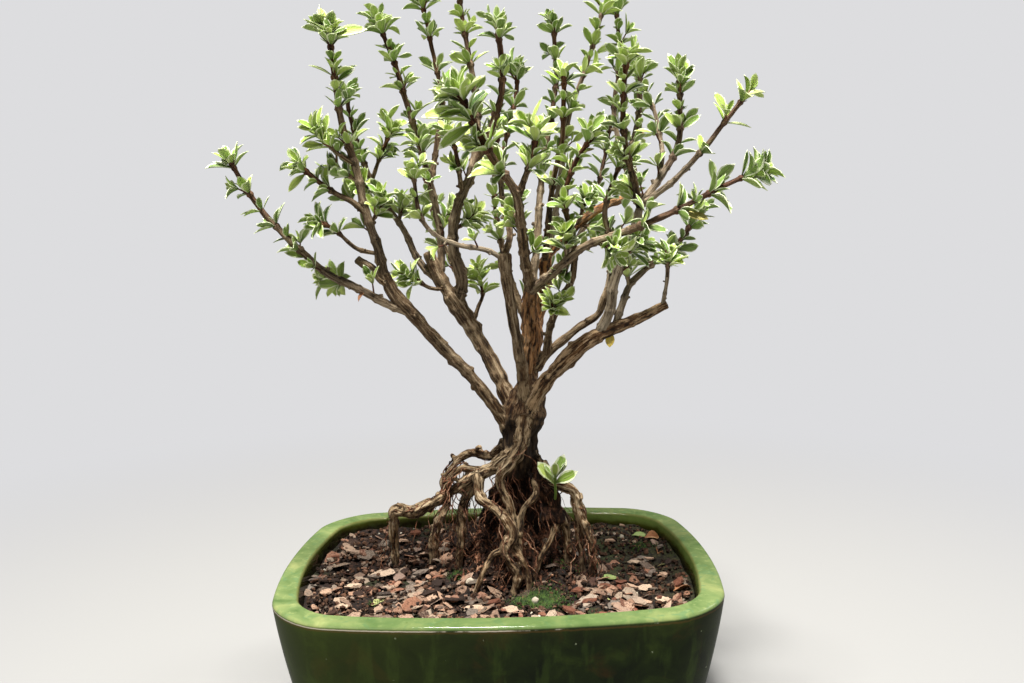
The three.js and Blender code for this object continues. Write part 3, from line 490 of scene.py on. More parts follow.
def glaze_finish():
    finish = Finish("copper_green_glaze")
    at = finish.where()
    reach, to_right, to_back = finish.parts("glaze")
    clouds = finish.noise(at, per(16), detail=5, warp=0.6)
    mottle = finish.noise(at, per(3.4), detail=6, roughness=0.62)
    speck = finish.cells(at, per(7))
    pinhole = 1 - finish.between(speck, 0.05, 0.085)
    rim = finish.ramp(clouds, (0.3, RIM_COLOURS[0]), (0.52, RIM_COLOURS[1]), (0.7, RIM_COLOURS[2]))
    turquoise = finish.between(finish.noise(at, per(9), detail=4, warp=1.5), 0.54, 0.7) * 0.45
    rim = finish.wash(rim, turquoise, 0x4a6f50)
    rim = finish.wash(rim, finish.between(mottle, 0.52, 0.7) * 0.3, 0x9aa26a)
    rim = finish.wash(rim, pinhole * 0.5, 0x54652c)
    # Painted shade: the rim is washed darker toward the back and, more strongly, in the front middle, where
    # the crown's shadow falls on it.
    rim = finish.wash(rim, finish.between(to_back, 20, 75) * 0.1, 0x50603a)
    aside = finish.math("ABSOLUTE", to_right)
    painted_crown_shade = finish.between(0 - to_back, 45, 75) * (1 - finish.between(aside, 45, 90))
    rim = finish.wash(rim, painted_crown_shade * 0.45, 0x475c32)
    wall = finish.ramp(clouds, (0.32, WALL_COLOURS[0]), (0.55, WALL_COLOURS[1]), (0.78, WALL_COLOURS[2]))
    rust = finish.between(finish.noise(at, per(24), detail=5, warp=0.9), 0.55, 0.72) * 0.6
    wall = finish.wash(wall, rust, 0x3a280c)
    runs = finish.noise(finish.squeezed(at, 0.2), per(7), detail=5)
    wall = finish.wash(wall, finish.between(runs, 0.52, 0.68) * 0.35, 0x3c4e1c)
    wall = finish.wash(wall, pinhole * finish.between(mottle, 0.5, 0.54) * 0.7, 0x9aa384)
    under_rim = finish.between(reach + mottle * 7, -9, -1)
    wall = finish.wash(wall, under_rim * 0.25, 0x2c3314)
    # Painted light: the outer wall is washed lighter toward the left, as light falls there.
    wall = finish.wash(wall, finish.between(0 - to_right, -20, 100) * 0.45, 0x434e1d)
    # The inner wall darkens toward the soil, partly soil stain and partly painted shade, and it is painted
    # darker at the left and lighter at the right, as light falls.
    inner_stain_and_painted_shade = finish.between(reach + clouds * 5 - finish.between(to_right, -40, 60) * 3, 11.5, 18)
    inside = finish.ramp(inner_stain_and_painted_shade, (0, 0x5c6c34), (0.5, 0x33350f), (1, 0x120d06))
    inside = finish.wash(inside, finish.between(mottle, 0.4, 0.7) * 0.25, 0x3a4420)
    colour = finish.mix(finish.between(reach, -0.6, 0.3), wall, rim)
    colour = finish.mix(finish.between(reach + mottle * 1.5, 10.5, 13), colour, inside)
    wobble = (mottle - 0.5) * 1.6
    broken = finish.band(reach + wobble, -2.2, -1.5, -1.3, -0.7)
    colour = finish.wash(colour, broken * 0.35, 0x5a3f20)
    # The pale lip line is partly glaze run thin over the clay and partly a painted highlight; the mask
    # below keeps it mostly at the left, where the highlight is painted.
    lip_line_and_highlight = finish.band(reach + wobble * 0.3, -1.1, -0.8, -0.6, -0.3)
    worn = finish.between(clouds + mottle * 0.3 - finish.between(to_right, 0, 60) * 0.3, 0.5, 0.62)
    colour = finish.wash(colour, lip_line_and_highlight * worn * 0.75, 0xc4b8a6)
    inner_edge = finish.band(reach + wobble, 9.6, 10.4, 10.8, 12)
    colour = finish.wash(colour, inner_edge * 0.35, 0x6b5a2c)
    foot = 1 - finish.between(reach + mottle * 4, -66, -62)
    colour = finish.mix(foot, colour, finish.ramp(mottle, (0.3, 0x7a5f45), (0.7, 0x9c8060)))
    roughness = 0.27 + finish.between(mottle, 0.35, 0.8) * 0.16 + foot * 0.5 + broken * 0.15
    relief = clouds * 0.35 + mottle * 0.12 - pinhole * 0.3
    coat = 0.18 + finish.between(reach, -1.5, 0) * 0.12
    return finish.dress(colour, roughness, relief, 0.0005, Coat_Weight=coat, Coat_Roughness=0.08,
                        Specular_IOR_Level=0.0)


keep("glazed_pot", pot_mesh(), [glaze_finish()], ["pot"], crease=50)

# %% [markdown]
# ## The drain screens
# Each drain hole is covered by a small disc of plastic mesh that keeps the soil in. Its solid is
# already the real shape, so it stays, and only gets a finish: dull black plastic, a little dusty.

# %% Plastic for the screens
def screen_finish():
    finish = Finish("mesh_plastic")
    dust = finish.between(finish.noise(finish.where(), per(2.5), detail=5), 0.45, 0.7)
    colour = finish.mix(dust * 0.5, paint(0x18191a), paint(0x4a4138))
    return finish.dress(colour, 0.5 + dust * 0.3, dust, 0.0001)


screen_plastic = screen_finish()
for side in ("left", "right"):
    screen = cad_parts["drain_screen_" + side]
    screen.material_slots[0].material = screen_plastic
print("two drain screens keep their solids")

# %% [markdown]
# ## The soil
# The pot is filled to a finger's breadth below the rim, and the soil swells into a mound of matted
# roots under the trunk. Its surface is a grid that is pulled out to the pot's inner wall, lifted to
# the soil's height at each point, and roughened by a fine noise, because potting mix is crumbs and
# not a plane. The edge of the grid is then drawn down along the wall to the floor.

# %% The soil's height and extent
SOIL_LEVEL, SOIL_UNEVENNESS, SOIL_GAP = 65, 1, 0.25
MOUND_X, MOUND_Y, MOUND_HEIGHT, MOUND_LONG, MOUND_WIDE = 9, 6, 34, 25, 19
SOIL_COLUMNS, SOIL_ROWS = 200, 150
SOIL_UNDERSIDE = POT_FLOOR + 1
RISE_BEHIND, RISE_FROM, RISE_TO = 2.6, 5, 55
SIGHT_STEP = 0.0008


def on_mound(angle, away):
    """Where a point of the mound lies, whose foot is an ellipse about 1 away."""
    return MOUND_X + MOUND_LONG * away * math.cos(angle), MOUND_Y + MOUND_WIDE * away * math.sin(angle)


def mound_share(x, y):
    """1 on top of the mound, 0 far from it."""
    away = ((x - MOUND_X) / MOUND_LONG) ** 2 + ((y - MOUND_Y) / MOUND_WIDE) ** 2
    return math.exp(-away)


def soil_height(x, y):
    """The soil's level with its mound, its slow waves and its rise toward the back wall."""
    waves = math.sin(x * 0.11 + 1) * math.cos(y * 0.13) + 0.6 * math.sin(x * 0.31 - y * 0.27)
    behind = min(max((y - RISE_FROM) / (RISE_TO - RISE_FROM), 0), 1)
    return SOIL_LEVEL + MOUND_HEIGHT * mound_share(x, y) + SOIL_UNEVENNESS * waves + RISE_BEHIND * behind


edge = sorted((math.atan2(y, x), math.hypot(x, y))
              for x, y, _ in pot_outline(inner_inset(SOIL_LEVEL) + SOIL_GAP, 0))
edge_angles, edge_reach = zip(*edge)


def on_soil(across, back):
    """The place on the soil of a point of the square from -1 to 1, pulled out to the wall."""
    angle = math.atan2(back * POT_DEPTH, across * POT_WIDTH)
    share = max(abs(across), abs(back))
    reach = share * float(np.interp(angle, edge_angles, edge_reach, period=2 * math.pi))
    x, y = reach * math.cos(angle), reach * math.sin(angle)
    return Vector((x, y, soil_height(x, y)))


def seen_on_soil(across, up):
    """The place on the soil that a point of the picture plane shows: a walk along its sight line."""
    step = sight(across, up) * SIGHT_STEP
    spot = EYE.copy()
    while spot.z > soil_height(spot.x, spot.y):
        spot += step
    return Vector((spot.x, spot.y, soil_height(spot.x, spot.y)))


# %% Where moss grows
MOSS = (  # across, up, spread across, spread in depth, spires
    (15, -130, 13, 11, 1600), (-28, -117, 5, 4, 90), (65, -103, 8, 5, 150), (26, -112, 7, 4, 120),
    (-68, -132, 4, 3, 60), (6, -131, 7, 5, 200))
moss_middles = [seen_on_soil(across, up) for across, up, *_ in MOSS]


def mossy(x, y):
    """1 where a cushion of moss is thickest."""
    return max(math.exp(-((x - middle.x) / long) ** 2 - ((y - middle.y) / wide) ** 2)
               for middle, (_, _, long, wide, _) in zip(moss_middles, MOSS))


# %% The soil's mesh
CRUMB_SIZES = ((1.1, 0.55), (3.2, 0.7), (9, 0.8))
DAMP_SLANT, DAMP_FROM, DAMP_EDGE = 0.6, 12, 9


def right_back(spot):
    """1 at the right and the back, where the soil lies open and stays damp; 0 at the front left."""
    return 1 / (1 + math.exp(-(spot.x * DAMP_SLANT + spot.y - DAMP_FROM) / DAMP_EDGE))


def soil_mesh():
    bm = marked("damp")
    damp = bm.verts.layers.float_vector["damp"]
    bmesh.ops.create_grid(bm, x_segments=SOIL_COLUMNS, y_segments=SOIL_ROWS, size=1)
    for vert in bm.verts:
        vert.co = on_soil(vert.co.x, vert.co.y)
        vert[damp] = (right_back(vert.co) * (vert.co.x > 0), mossy(vert.co.x, vert.co.y), 0)
        rough = sum(height * noise.noise(vert.co / size) for size, height in CRUMB_SIZES)
        if not vert.is_boundary:
            vert.co.z += rough * (1 + mound_share(vert.co.x, vert.co.y))
    rim = [edge for edge in bm.edges if edge.is_boundary]
    drawn = bmesh.ops.extrude_edge_only(bm, edges=rim)["geom"]
    skirt = [item for item in drawn if isinstance(item, bmesh.types.BMVert)]
    bottom = inner_inset(SOIL_UNDERSIDE) + SOIL_GAP
    top = inner_inset(SOIL_LEVEL) + SOIL_GAP
    for vert in skirt:
        vert.co.x *= (POT_WIDTH / 2 - bottom) / (POT_WIDTH / 2 - top)
        vert.co.y *= (POT_DEPTH / 2 - bottom) / (POT_DEPTH / 2 - top)
        vert.co.z = SOIL_UNDERSIDE
    bmesh.ops.edgeloop_fill(bm, edges=[edge for edge in bm.edges if edge.is_boundary])
    bmesh.ops.recalc_face_normals(bm, faces=bm.faces)
    return mesh_of("potting_soil", bm)


# %% [markdown]
# Wet potting mix is nearly black. Dry crumbs are a dark reddish brown, tiny bits of bark show
# through, and where it stays damp a film of algae tints it green: at the back right, and in front
# of the mound.

# %% The soil's finish
def soil_finish():
    finish = Finish("potting_soil")
    at = finish.where()
    crumbs = finish.noise(at, per(2.2), detail=8, roughness=0.7)
    lumps = finish.cells(at, per(2.6))
    patches = finish.noise(at, per(28), detail=3)
    damp, moss, _ = finish.parts("damp")
    colour = finish.ramp(crumbs, (0.32, 0x080504), (0.5, 0x1c130f), (0.64, 0x3f2b21), (0.78, 0x7a5c48))
    colour = finish.wash(colour, finish.between(patches, 0.5, 0.62) * 0.35, 0x1c1a10)
    algae = finish.between(patches, 0.54, 0.66) * finish.between(crumbs, 0.42, 0.6)
    colour = finish.wash(colour, algae * 0.45, 0x33471c)
    film = damp * finish.between(crumbs + patches * 0.4, 0.6, 0.8)
    colour = finish.wash(colour, film * 0.5, 0x3c4224)
    colour = finish.wash(colour, finish.between(moss + (crumbs - 0.5) * 0.4, 0.25, 0.6) * 0.8, 0x22330f)
    roughness = 0.75 + crumbs * 0.25
    return finish.dress(colour, roughness, crumbs * 0.7 + lumps * 0.5, 0.0012, Specular_IOR_Level=0.25)


keep("potting_soil", soil_mesh(), [soil_finish()], ["soil"], crease=180)

# %% [markdown]
# ## Bark chips, crumbs and grit
# On the soil lies a mulch of broken pine bark: flat flakes a few millimetres across, reddish brown,
# pinkish tan and grey, with white grains of perlite between them. Six flakes are shaped once, each
# from a low cylinder whose corners are pushed about and whose edges are bevelled, and hundreds of
# stamped copies differ in size, proportions, tilt and tint. Crumbs and grit are rough ball shapes.
# The largest flakes are laid one by one where the photograph shows them.

# %% Small shapes to scatter
FLAKE_CORNERS, FLAKE_EDGE, FLAKE_STEEP = (5, 6, 7), 0.05, 0.6
FLAKE_LONG, FLAKE_WIDE, FLAKE_THICK = (0.7, 1.3), (0.45, 0.85), (0.5, 1.4)
GRAIN_ROUND = (0.72, 1.2)
MULCH_TILT = 0.5


def flake_shape(draws):
    bm = bmesh.new()
    corners = draws.choice(FLAKE_CORNERS)
    bmesh.ops.create_cone(bm, cap_ends=True, segments=corners, radius1=1, radius2=0.9, depth=1)
    for vert in bm.verts:
        vert.co.x *= draws.uniform(*FLAKE_LONG)
        vert.co.y *= draws.uniform(*FLAKE_WIDE)
        vert.co.z *= draws.uniform(*FLAKE_THICK)
    soften(bm, [edge for edge in bm.edges if climb(edge) < FLAKE_STEEP], FLAKE_EDGE)
    bmesh.ops.recalc_face_normals(bm, faces=bm.faces)
    return mesh_of("flake", bm)


def grain_shape(draws):
    bm = bmesh.new()
    bmesh.ops.create_icosphere(bm, subdivisions=1, radius=1)
    for vert in bm.verts:
        vert.co *= draws.uniform(*GRAIN_ROUND)
    return mesh_of("grain", bm)


shapes = random.Random(5)
flakes = [flake_shape(shapes) for _ in range(6)]
grains = [grain_shape(shapes) for _ in range(5)]


def any_turn(draws):
    return draws.uniform(0, 2 * math.pi)


def any_tint(draws):
    return draws.random(), draws.random(), draws.random()


def any_lean(draws, tilt):
    """A lean of so many radians or so, to any side."""
    return Matrix.Rotation(draws.gauss(0, tilt), 4, "X") @ Matrix.Rotation(draws.gauss(0, tilt), 4, "Y")


def lay(bm, shape, spot, size, thickness, draws, tilt=MULCH_TILT, sink=0.3, **marks):
    """Lays a copy of a small shape on the soil, turned at random and tilted a little."""
    turn = Matrix.Rotation(any_turn(draws), 4, "Z")
    lean = any_lean(draws, tilt)
    scale = Matrix.Diagonal((size, size, thickness, 1))
    lift = Vector((0, 0, thickness * (0.5 - sink)))
    stamp(bm, shape, Matrix.Translation(spot + lift) @ lean @ turn @ scale, **marks)


# %% Where chips lie
CHIPS, CRUMBS, CLODS, GRIT = 1450, 3200, 420, 80
CHIP_SPREAD, CHIP_PILE, CHIP_TILT, LARGE_CHIP_TILT = 0.985, 2.6, 0.3, 0.14
CHIP_SIZE, LARGEST_CHIP, CHIP_THICKNESS = (0.78, 0.58), 6.5, (0.4, 1.1)
LARGE_CHIP_WIDER, LARGE_CHIP_THICKNESS = 1.5, 1.1
CRUMB_SIZE, CLOD_SIZE, GRIT_SIZE = (0.4, 1.5), (0.9, 2.6), (0.4, 1.1)
CRUMB_PILE, CRUMB_FLATNESS, CLODS_REACH = 0.8, 0.8, 1.5
DARK, BRICK, TAN = (0.1, 0.1, 0.2), (0.42, 0.2, 0.1), (0.62, 0.8, 0.5)
GREY, PALE_TAN = (0.8, 0.5, 1), (1, 0.9, 0.5)
LARGE_CHIPS = (  # across, up, half length, half width, turn in degrees, tint
    (-42, -127, 7.5, 4.5, 20, DARK), (-30, -130, 7, 4.5, -10, DARK), (-10, -132, 5, 3.5, 50, BRICK),
    (-19, -135, 5.5, 3, -15, PALE_TAN), (-46, -117, 4.5, 3, 30, GREY), (-87, -109, 4, 3, 10, BRICK),
    (-40, -115, 3.5, 1.3, 65, TAN), (-68, -119, 5, 2.5, 15, GREY), (-54, -101, 3, 2.2, 40, TAN),
    (-48, -97, 3.5, 2.5, 0, BRICK), (-46, -129, 3, 2, 20, TAN), (-80, -124, 5, 3, 35, PALE_TAN),
    (-93, -127, 4, 2.6, -20, TAN), (-62, -132, 4.5, 2.6, 10, DARK), (-84, -134, 4, 2.4, 0, PALE_TAN),
    (-71, -104, 3.4, 2.4, 80, DARK), (40, -131, 5, 3, 15, BRICK), (56, -134, 5, 2.6, 5, DARK),
    (66, -132, 4, 2.4, -25, TAN), (53, -133, 3.6, 2.2, 40, GREY), (75, -131, 4, 2.2, 10, PALE_TAN),
    (29, -136, 4.6, 2.8, -12, BRICK), (49, -101, 3, 2, 15, TAN), (83, -122, 4.5, 2.4, 60, BRICK),
    (61, -112, 3.6, 2.2, 30, PALE_TAN), (68, -110, 3.2, 2.2, -20, TAN), (70, -117, 3.5, 2, 60, GREY),
    (54, -122, 3.6, 2.6, 10, BRICK), (60, -124, 3.6, 2.2, -30, TAN), (46, -124, 3.6, 2.4, 30, BRICK),
    (76, -118, 3.6, 2.2, 80, TAN), (33, -126, 3.6, 2.6, 0, BRICK), (66, -125, 4.2, 2.4, 20, PALE_TAN),
    (78, -112, 3, 2, 70, DARK), (74, -104, 2.6, 1.8, 50, GREY), (-92, -121, 7.5, 1.8, -8, DARK))
PEBBLES = (  # across, up, size
    (11.5, -131.3, 2.2), (16.5, -101.3, 1.8), (-16.5, -90.3, 2.1), (-21, -121.8, 2.3), (55, -99, 1.6))
PEBBLE_TINT = (0.6, 0.5, 0.5)


def chip_chance(spot):
    """Chips lie thick at the left and along the front, thin at the back right and on the mound."""
    open_ground = 1 - 0.95 * mound_share(spot.x, spot.y) ** 0.5
    beside_right_wall = max(0, 1 - abs(spot.x - 76) / 12) * max(0, 1 - abs(spot.y + 8) / 40)
    share = max(1 - 0.85 * right_back(spot), 0.8 * beside_right_wall)
    # Chips thin out at the back left, so that the dark soil shows there as painted shade.
    left_back = min(max((spot.y - 20) / 25, 0), 1) * (spot.x < 0)
    bare = max(0, 1 - 1.6 * mossy(spot.x, spot.y))
    return share * open_ground * bare * (1 - 0.6 * left_back)


# %% Scattering them
def anywhere(draws):
    """Any place on the soil."""
    return on_soil(draws.uniform(-1, 1) * CHIP_SPREAD, draws.uniform(-1, 1) * CHIP_SPREAD)


def mulch():
    draws = random.Random(41)
    chips, crumbs, grit = marked("tint"), marked("tint"), marked("tint")
    for _ in range(CHIPS):
        spot = anywhere(draws)
        size = min(draws.lognormvariate(*CHIP_SIZE), LARGEST_CHIP)
        tint = any_tint(draws)
        if draws.random() < chip_chance(spot):
            spot.z += draws.uniform(0, CHIP_PILE) * chip_chance(spot)
            flake, thickness = draws.choice(flakes), draws.uniform(*CHIP_THICKNESS)
            lay(chips, flake, spot, size, thickness, draws, CHIP_TILT, tint=tint)
    for across, up, long, wide, turn, tint in LARGE_CHIPS:
        spot = seen_on_soil(across, up) + Vector((0, 0, CHIP_PILE * 0.7))
        lean = any_lean(draws, LARGE_CHIP_TILT) @ Matrix.Rotation(math.radians(turn), 4, "Z")
        lean = lean @ Matrix.Diagonal((long, wide * LARGE_CHIP_WIDER, LARGE_CHIP_THICKNESS, 1))
        stamp(chips, draws.choice(flakes), Matrix.Translation(spot) @ lean, tint=tint)
    for _ in range(CRUMBS):
        spot, tint, size = anywhere(draws), any_tint(draws), draws.uniform(*CRUMB_SIZE)
        spot.z += draws.uniform(0, CRUMB_PILE * CHIP_PILE) * chip_chance(spot)
        lay(crumbs, draws.choice(grains), spot, size, size * CRUMB_FLATNESS, draws, sink=0, tint=tint)
    for _ in range(CLODS):
        x, y = on_mound(any_turn(draws), draws.uniform(0, CLODS_REACH))
        size = draws.uniform(*CLOD_SIZE)
        tint = (draws.random() * 0.7, draws.random(), draws.random())
        spot = Vector((x, y, soil_height(x, y)))
        lay(crumbs, draws.choice(grains), spot, size, size * CRUMB_FLATNESS, draws, sink=0.1, tint=tint)
    for _ in range(GRIT):
        spot, tint, size = anywhere(draws), any_tint(draws), draws.uniform(*GRIT_SIZE)
        lay(grit, draws.choice(grains), spot, size, size, draws, sink=-0.2, tint=tint)
    for across, up, size in PEBBLES:
        spot = seen_on_soil(across, up) + Vector((0, 0, size * 0.6))
        lay(grit, draws.choice(grains), spot, size, size, draws, tint=PEBBLE_TINT)
    return mesh_of("bark_chips", chips), mesh_of("soil_crumbs", crumbs), mesh_of("perlite_grit", grit)


# %% [markdown]
# Bark is layered: its colour runs in bands along a flake, one flake is redder and the next greyer,
# and its face is scaly. The tint mark holds three random numbers per flake: how red, how light and
# which way its bands are shifted.

# %% Finishes for the mulch
def chip_finish():
    finish = Finish("pine_bark")
    at = finish.where()
    red, light, shift = finish.parts("tint")
    fibre = finish.noise(at, per(1.6), detail=6, roughness=0.65, warp=2)
    worn = finish.between(fibre + light * 0.6, 0.57, 1.02)
    brown = finish.ramp(red, (0, 0x160e09), (0.3, 0x3a2419), (0.5, 0x74432f), (0.66, 0x94705a),
                        (0.84, 0x504840), (1, 0xac9680))
    dusty = finish.ramp(shift, (0, 0x98694e), (0.5, 0xc2a68c), (1, 0x847c72))
    colour = finish.mix(worn * 0.55, brown, dusty)
    colour = finish.wash(colour, (1 - finish.between(fibre, 0.32, 0.5)) * 0.7, 0x1a110d)
    return finish.dress(colour, 0.7 + fibre * 0.25, fibre, 0.0006, Specular_IOR_Level=0.3)


def crumb_finish():
    finish = Finish("soil_crumb")
    red, light, _ = finish.parts("tint")
    fine = finish.noise(finish.where(), per(0.8), detail=5)
    colour = finish.ramp(red, (0, 0x0b0705), (0.6, 0x241710), (1, 0x563b2b))
    colour = finish.wash(colour, finish.between(fine, 0.45, 0.7) * light * 0.6, 0x86664f)
    return finish.dress(colour, 0.95, fine, 0.0003, Specular_IOR_Level=0.2)


def grit_finish():
    finish = Finish("perlite")
    red, light, _ = finish.parts("tint")
    fine = finish.noise(finish.where(), per(0.7), detail=5)
    colour = finish.ramp(red, (0, 0x7c6d58), (0.5, 0xa89b86), (1, 0xcfc8b8))
    colour = finish.wash(colour, finish.between(fine, 0.5, 0.7) * 0.35, 0x77654f)
    return finish.dress(colour, 0.85, fine, 0.0003)


for mesh, finish in zip(mulch(), (chip_finish(), crumb_finish(), grit_finish())):
    keep(mesh.name, mesh, [finish], crease=40)

# %% [markdown]
# ## Drawing the plant
# Every root, bough and shoot is a curve through a few points, drawn as they look in the
# photograph, with radii spread evenly from its first point to its last. The numbers are the plan
# that the solids were made from, so that the finer wood lies where the solids lie. A plan gives a
# limb's name, its points as across, up and depth, and its radii. For a shoot, the number at the end
# says what share of it, from its base, is bare wood.

# %% Plans
def numbers(text):
    return [float(number) for number in text.split()]


def plans(text):
    """The limbs of a plan by name, each with its points, its radii and, for a shoot, its bare share."""
    found = {}
    for line in text.replace("\n    ", " ").strip().splitlines():
        name, plan = line.split(":")
        points, radii, *bare = plan.split(";")
        found[name] = ([tuple(numbers(point)) for point in points.split(",")], numbers(radii),
                       *[float(share) for share in bare])
    return found


# %% Roots
ROOTS = plans("""
left_arch: 1.5 -53 -3, -5 -60 -8, -12.5 -64.5 -10, -21 -68.5 -10, -33 -77 -8, -43 -83 -5,
    -50.5 -85.5 -2, -58 -84.5 0, -59.5 -90 1, -58.5 -105 4, -57 -119 4; 4.6 3.2 2.8 2.6 2.7 3.3 2.4 2.1
    1.9
left_back: -3 -51 4, -9.5 -57 10, -21 -55.5 17, -28 -60 18, -33.5 -69 17, -33 -80 13, -38.5 -95 12,
    -39 -118 12; 3.2 2.4 2.1 1.9 2.2 2.4 2.2
left_loop: -17 -64 -9, -25 -63 -10, -31 -68 -12, -34 -76 -12; 2 1.9 1.7
left_foot: -15 -66.5 -10, -21 -75 -7, -25 -83.5 -6, -25 -92 -7, -27 -119 -7; 2.6 2.4 2.1 1.8
front_twist: -17 -64 -9, -17 -70 -13, -16 -78 -17, -6 -86 -22, 0 -96 -25, -3 -103 -26, -1 -110 -27,
    2.5 -115 -27, 1 -128 -28; 2.5 2.4 2.3 2.7 2.7 2.2 1.8
front_centre: 6 -40 -7, 4 -53 -11.5, -1 -61 -14, -6 -67 -15, -5 -73 -15, -0.5 -84 -18, 0 -92 -21,
    -2 -101 -25; 3.6 3.2 2.5 2 1.9 1.9
front_left_toe: -2.5 -104 -25, -10 -107 -27, -15 -117 -29, -20 -130 -31; 1.6 1.5 1.3
front_right_toe: -1 -101 -24, 5 -109 -26, 8 -116 -28, 8.5 -130 -29; 1.7 1.5 1.4
inner_front: 7 -60 -1, 9.5 -67 -7, 11.5 -77 -14, 6 -84 -19, 4 -92 -21, 4 -106 -23, 6 -122 -22; 2.2 1.6
    1.5 1.5
right_arch: 13 -57 -2, 16.5 -65 -5, 19.5 -70.5 -8, 25.5 -72.5 -11, 31 -75 -12, 33 -83 -13, 37 -95 -13,
    40 -104 -13, 40 -120 -13; 3.4 2.5 2.3 2.8 2.5 2.2 1.8
right_strand: 33.5 -86 -13, 33 -97 -11, 35 -107 -10, 35 -119 -10; 1.8 1.6 1.5
right_foot: 9 -60 0, 13 -71.5 -2, 19 -79 -5, 25 -88 -7, 28 -101 -8, 28 -119 -8; 3.6 2.8 2.5 2.2 2
right_toe: 24 -87 -7, 19 -100 -14, 14 -110 -18, 10.5 -128 -21; 1.7 1.5 1.3
back_right: 8 -58 6, 13 -71 18, 19 -84 28, 23 -98 33, 23 -111 34; 3.4 2.6 2.3 1.9
back_left: 0 -58 8, -7 -73 22, -13 -87 32, -16 -99 36, -16 -110 37; 3.2 2.6 2.2 1.8
back_middle: 5 -60 8, 6 -76 26, 3 -91 36, 3 -110 38; 3 2.4 2
""")


# %% Trunk and boughs
BOUGHS = plans("""
trunk: 4 -69 0, 4.5 -54 1, 4.5 -43 2, 6.5 -33 2, 9 -23 2; 6.5 8.6 9.8 10 7.5
left_bough: 2 -50 1, -5 -38 0, -20 -18 -4, -33 -5 -8, -50 14 -12, -59 24 -14, -64 34 -15; 4.6 3.5 3.1 3
    3.2 3.5 2.6
left_stub: -64 30 -15, -71 36.5 -13, -77.5 41 -11; 2.6 2.4
second_bough: 3 -40 4, -1 -30 6, -12 -7 12, -21 8 16, -28 19 17, -36 31 17, -42 45 15; 5 4.4 4.1 4.4 5
    3.8 3.1
centre_left: 7 -30 -3, 5 -14 -9, 1.5 6 -13, -2 26 -15, -4 44 -15; 3.8 3 2.8 2.7 3.4
centre_right: 7.5 -30 3, 8.5 -7 7, 10 4 8, 9 15 6, 9.5 27 1; 5.2 5.4 5.6 4.2 3
rough_bough: 10 2 9, 14 16 15, 16.5 30 20, 17 41 26, 23.5 50 31, 43 66 37, 58 74 39, 61 87 39; 3.8 3.2 3
    2.6 2.3 1.9
right_bough: 6 -43 -2, 10 -30 -4, 24.5 -11.5 -10, 39 1 -14, 50 6.5 -15, 64 12 -17, 77.5 19 -17; 5.2 4.6
    4.1 4.3 3.4 2.8 2.2
right_upper: 12 -14 4, 16.5 -7 5, 32 6 6, 43 14 4, 48 27.5 2; 2.8 2.3 2 1.8
""")


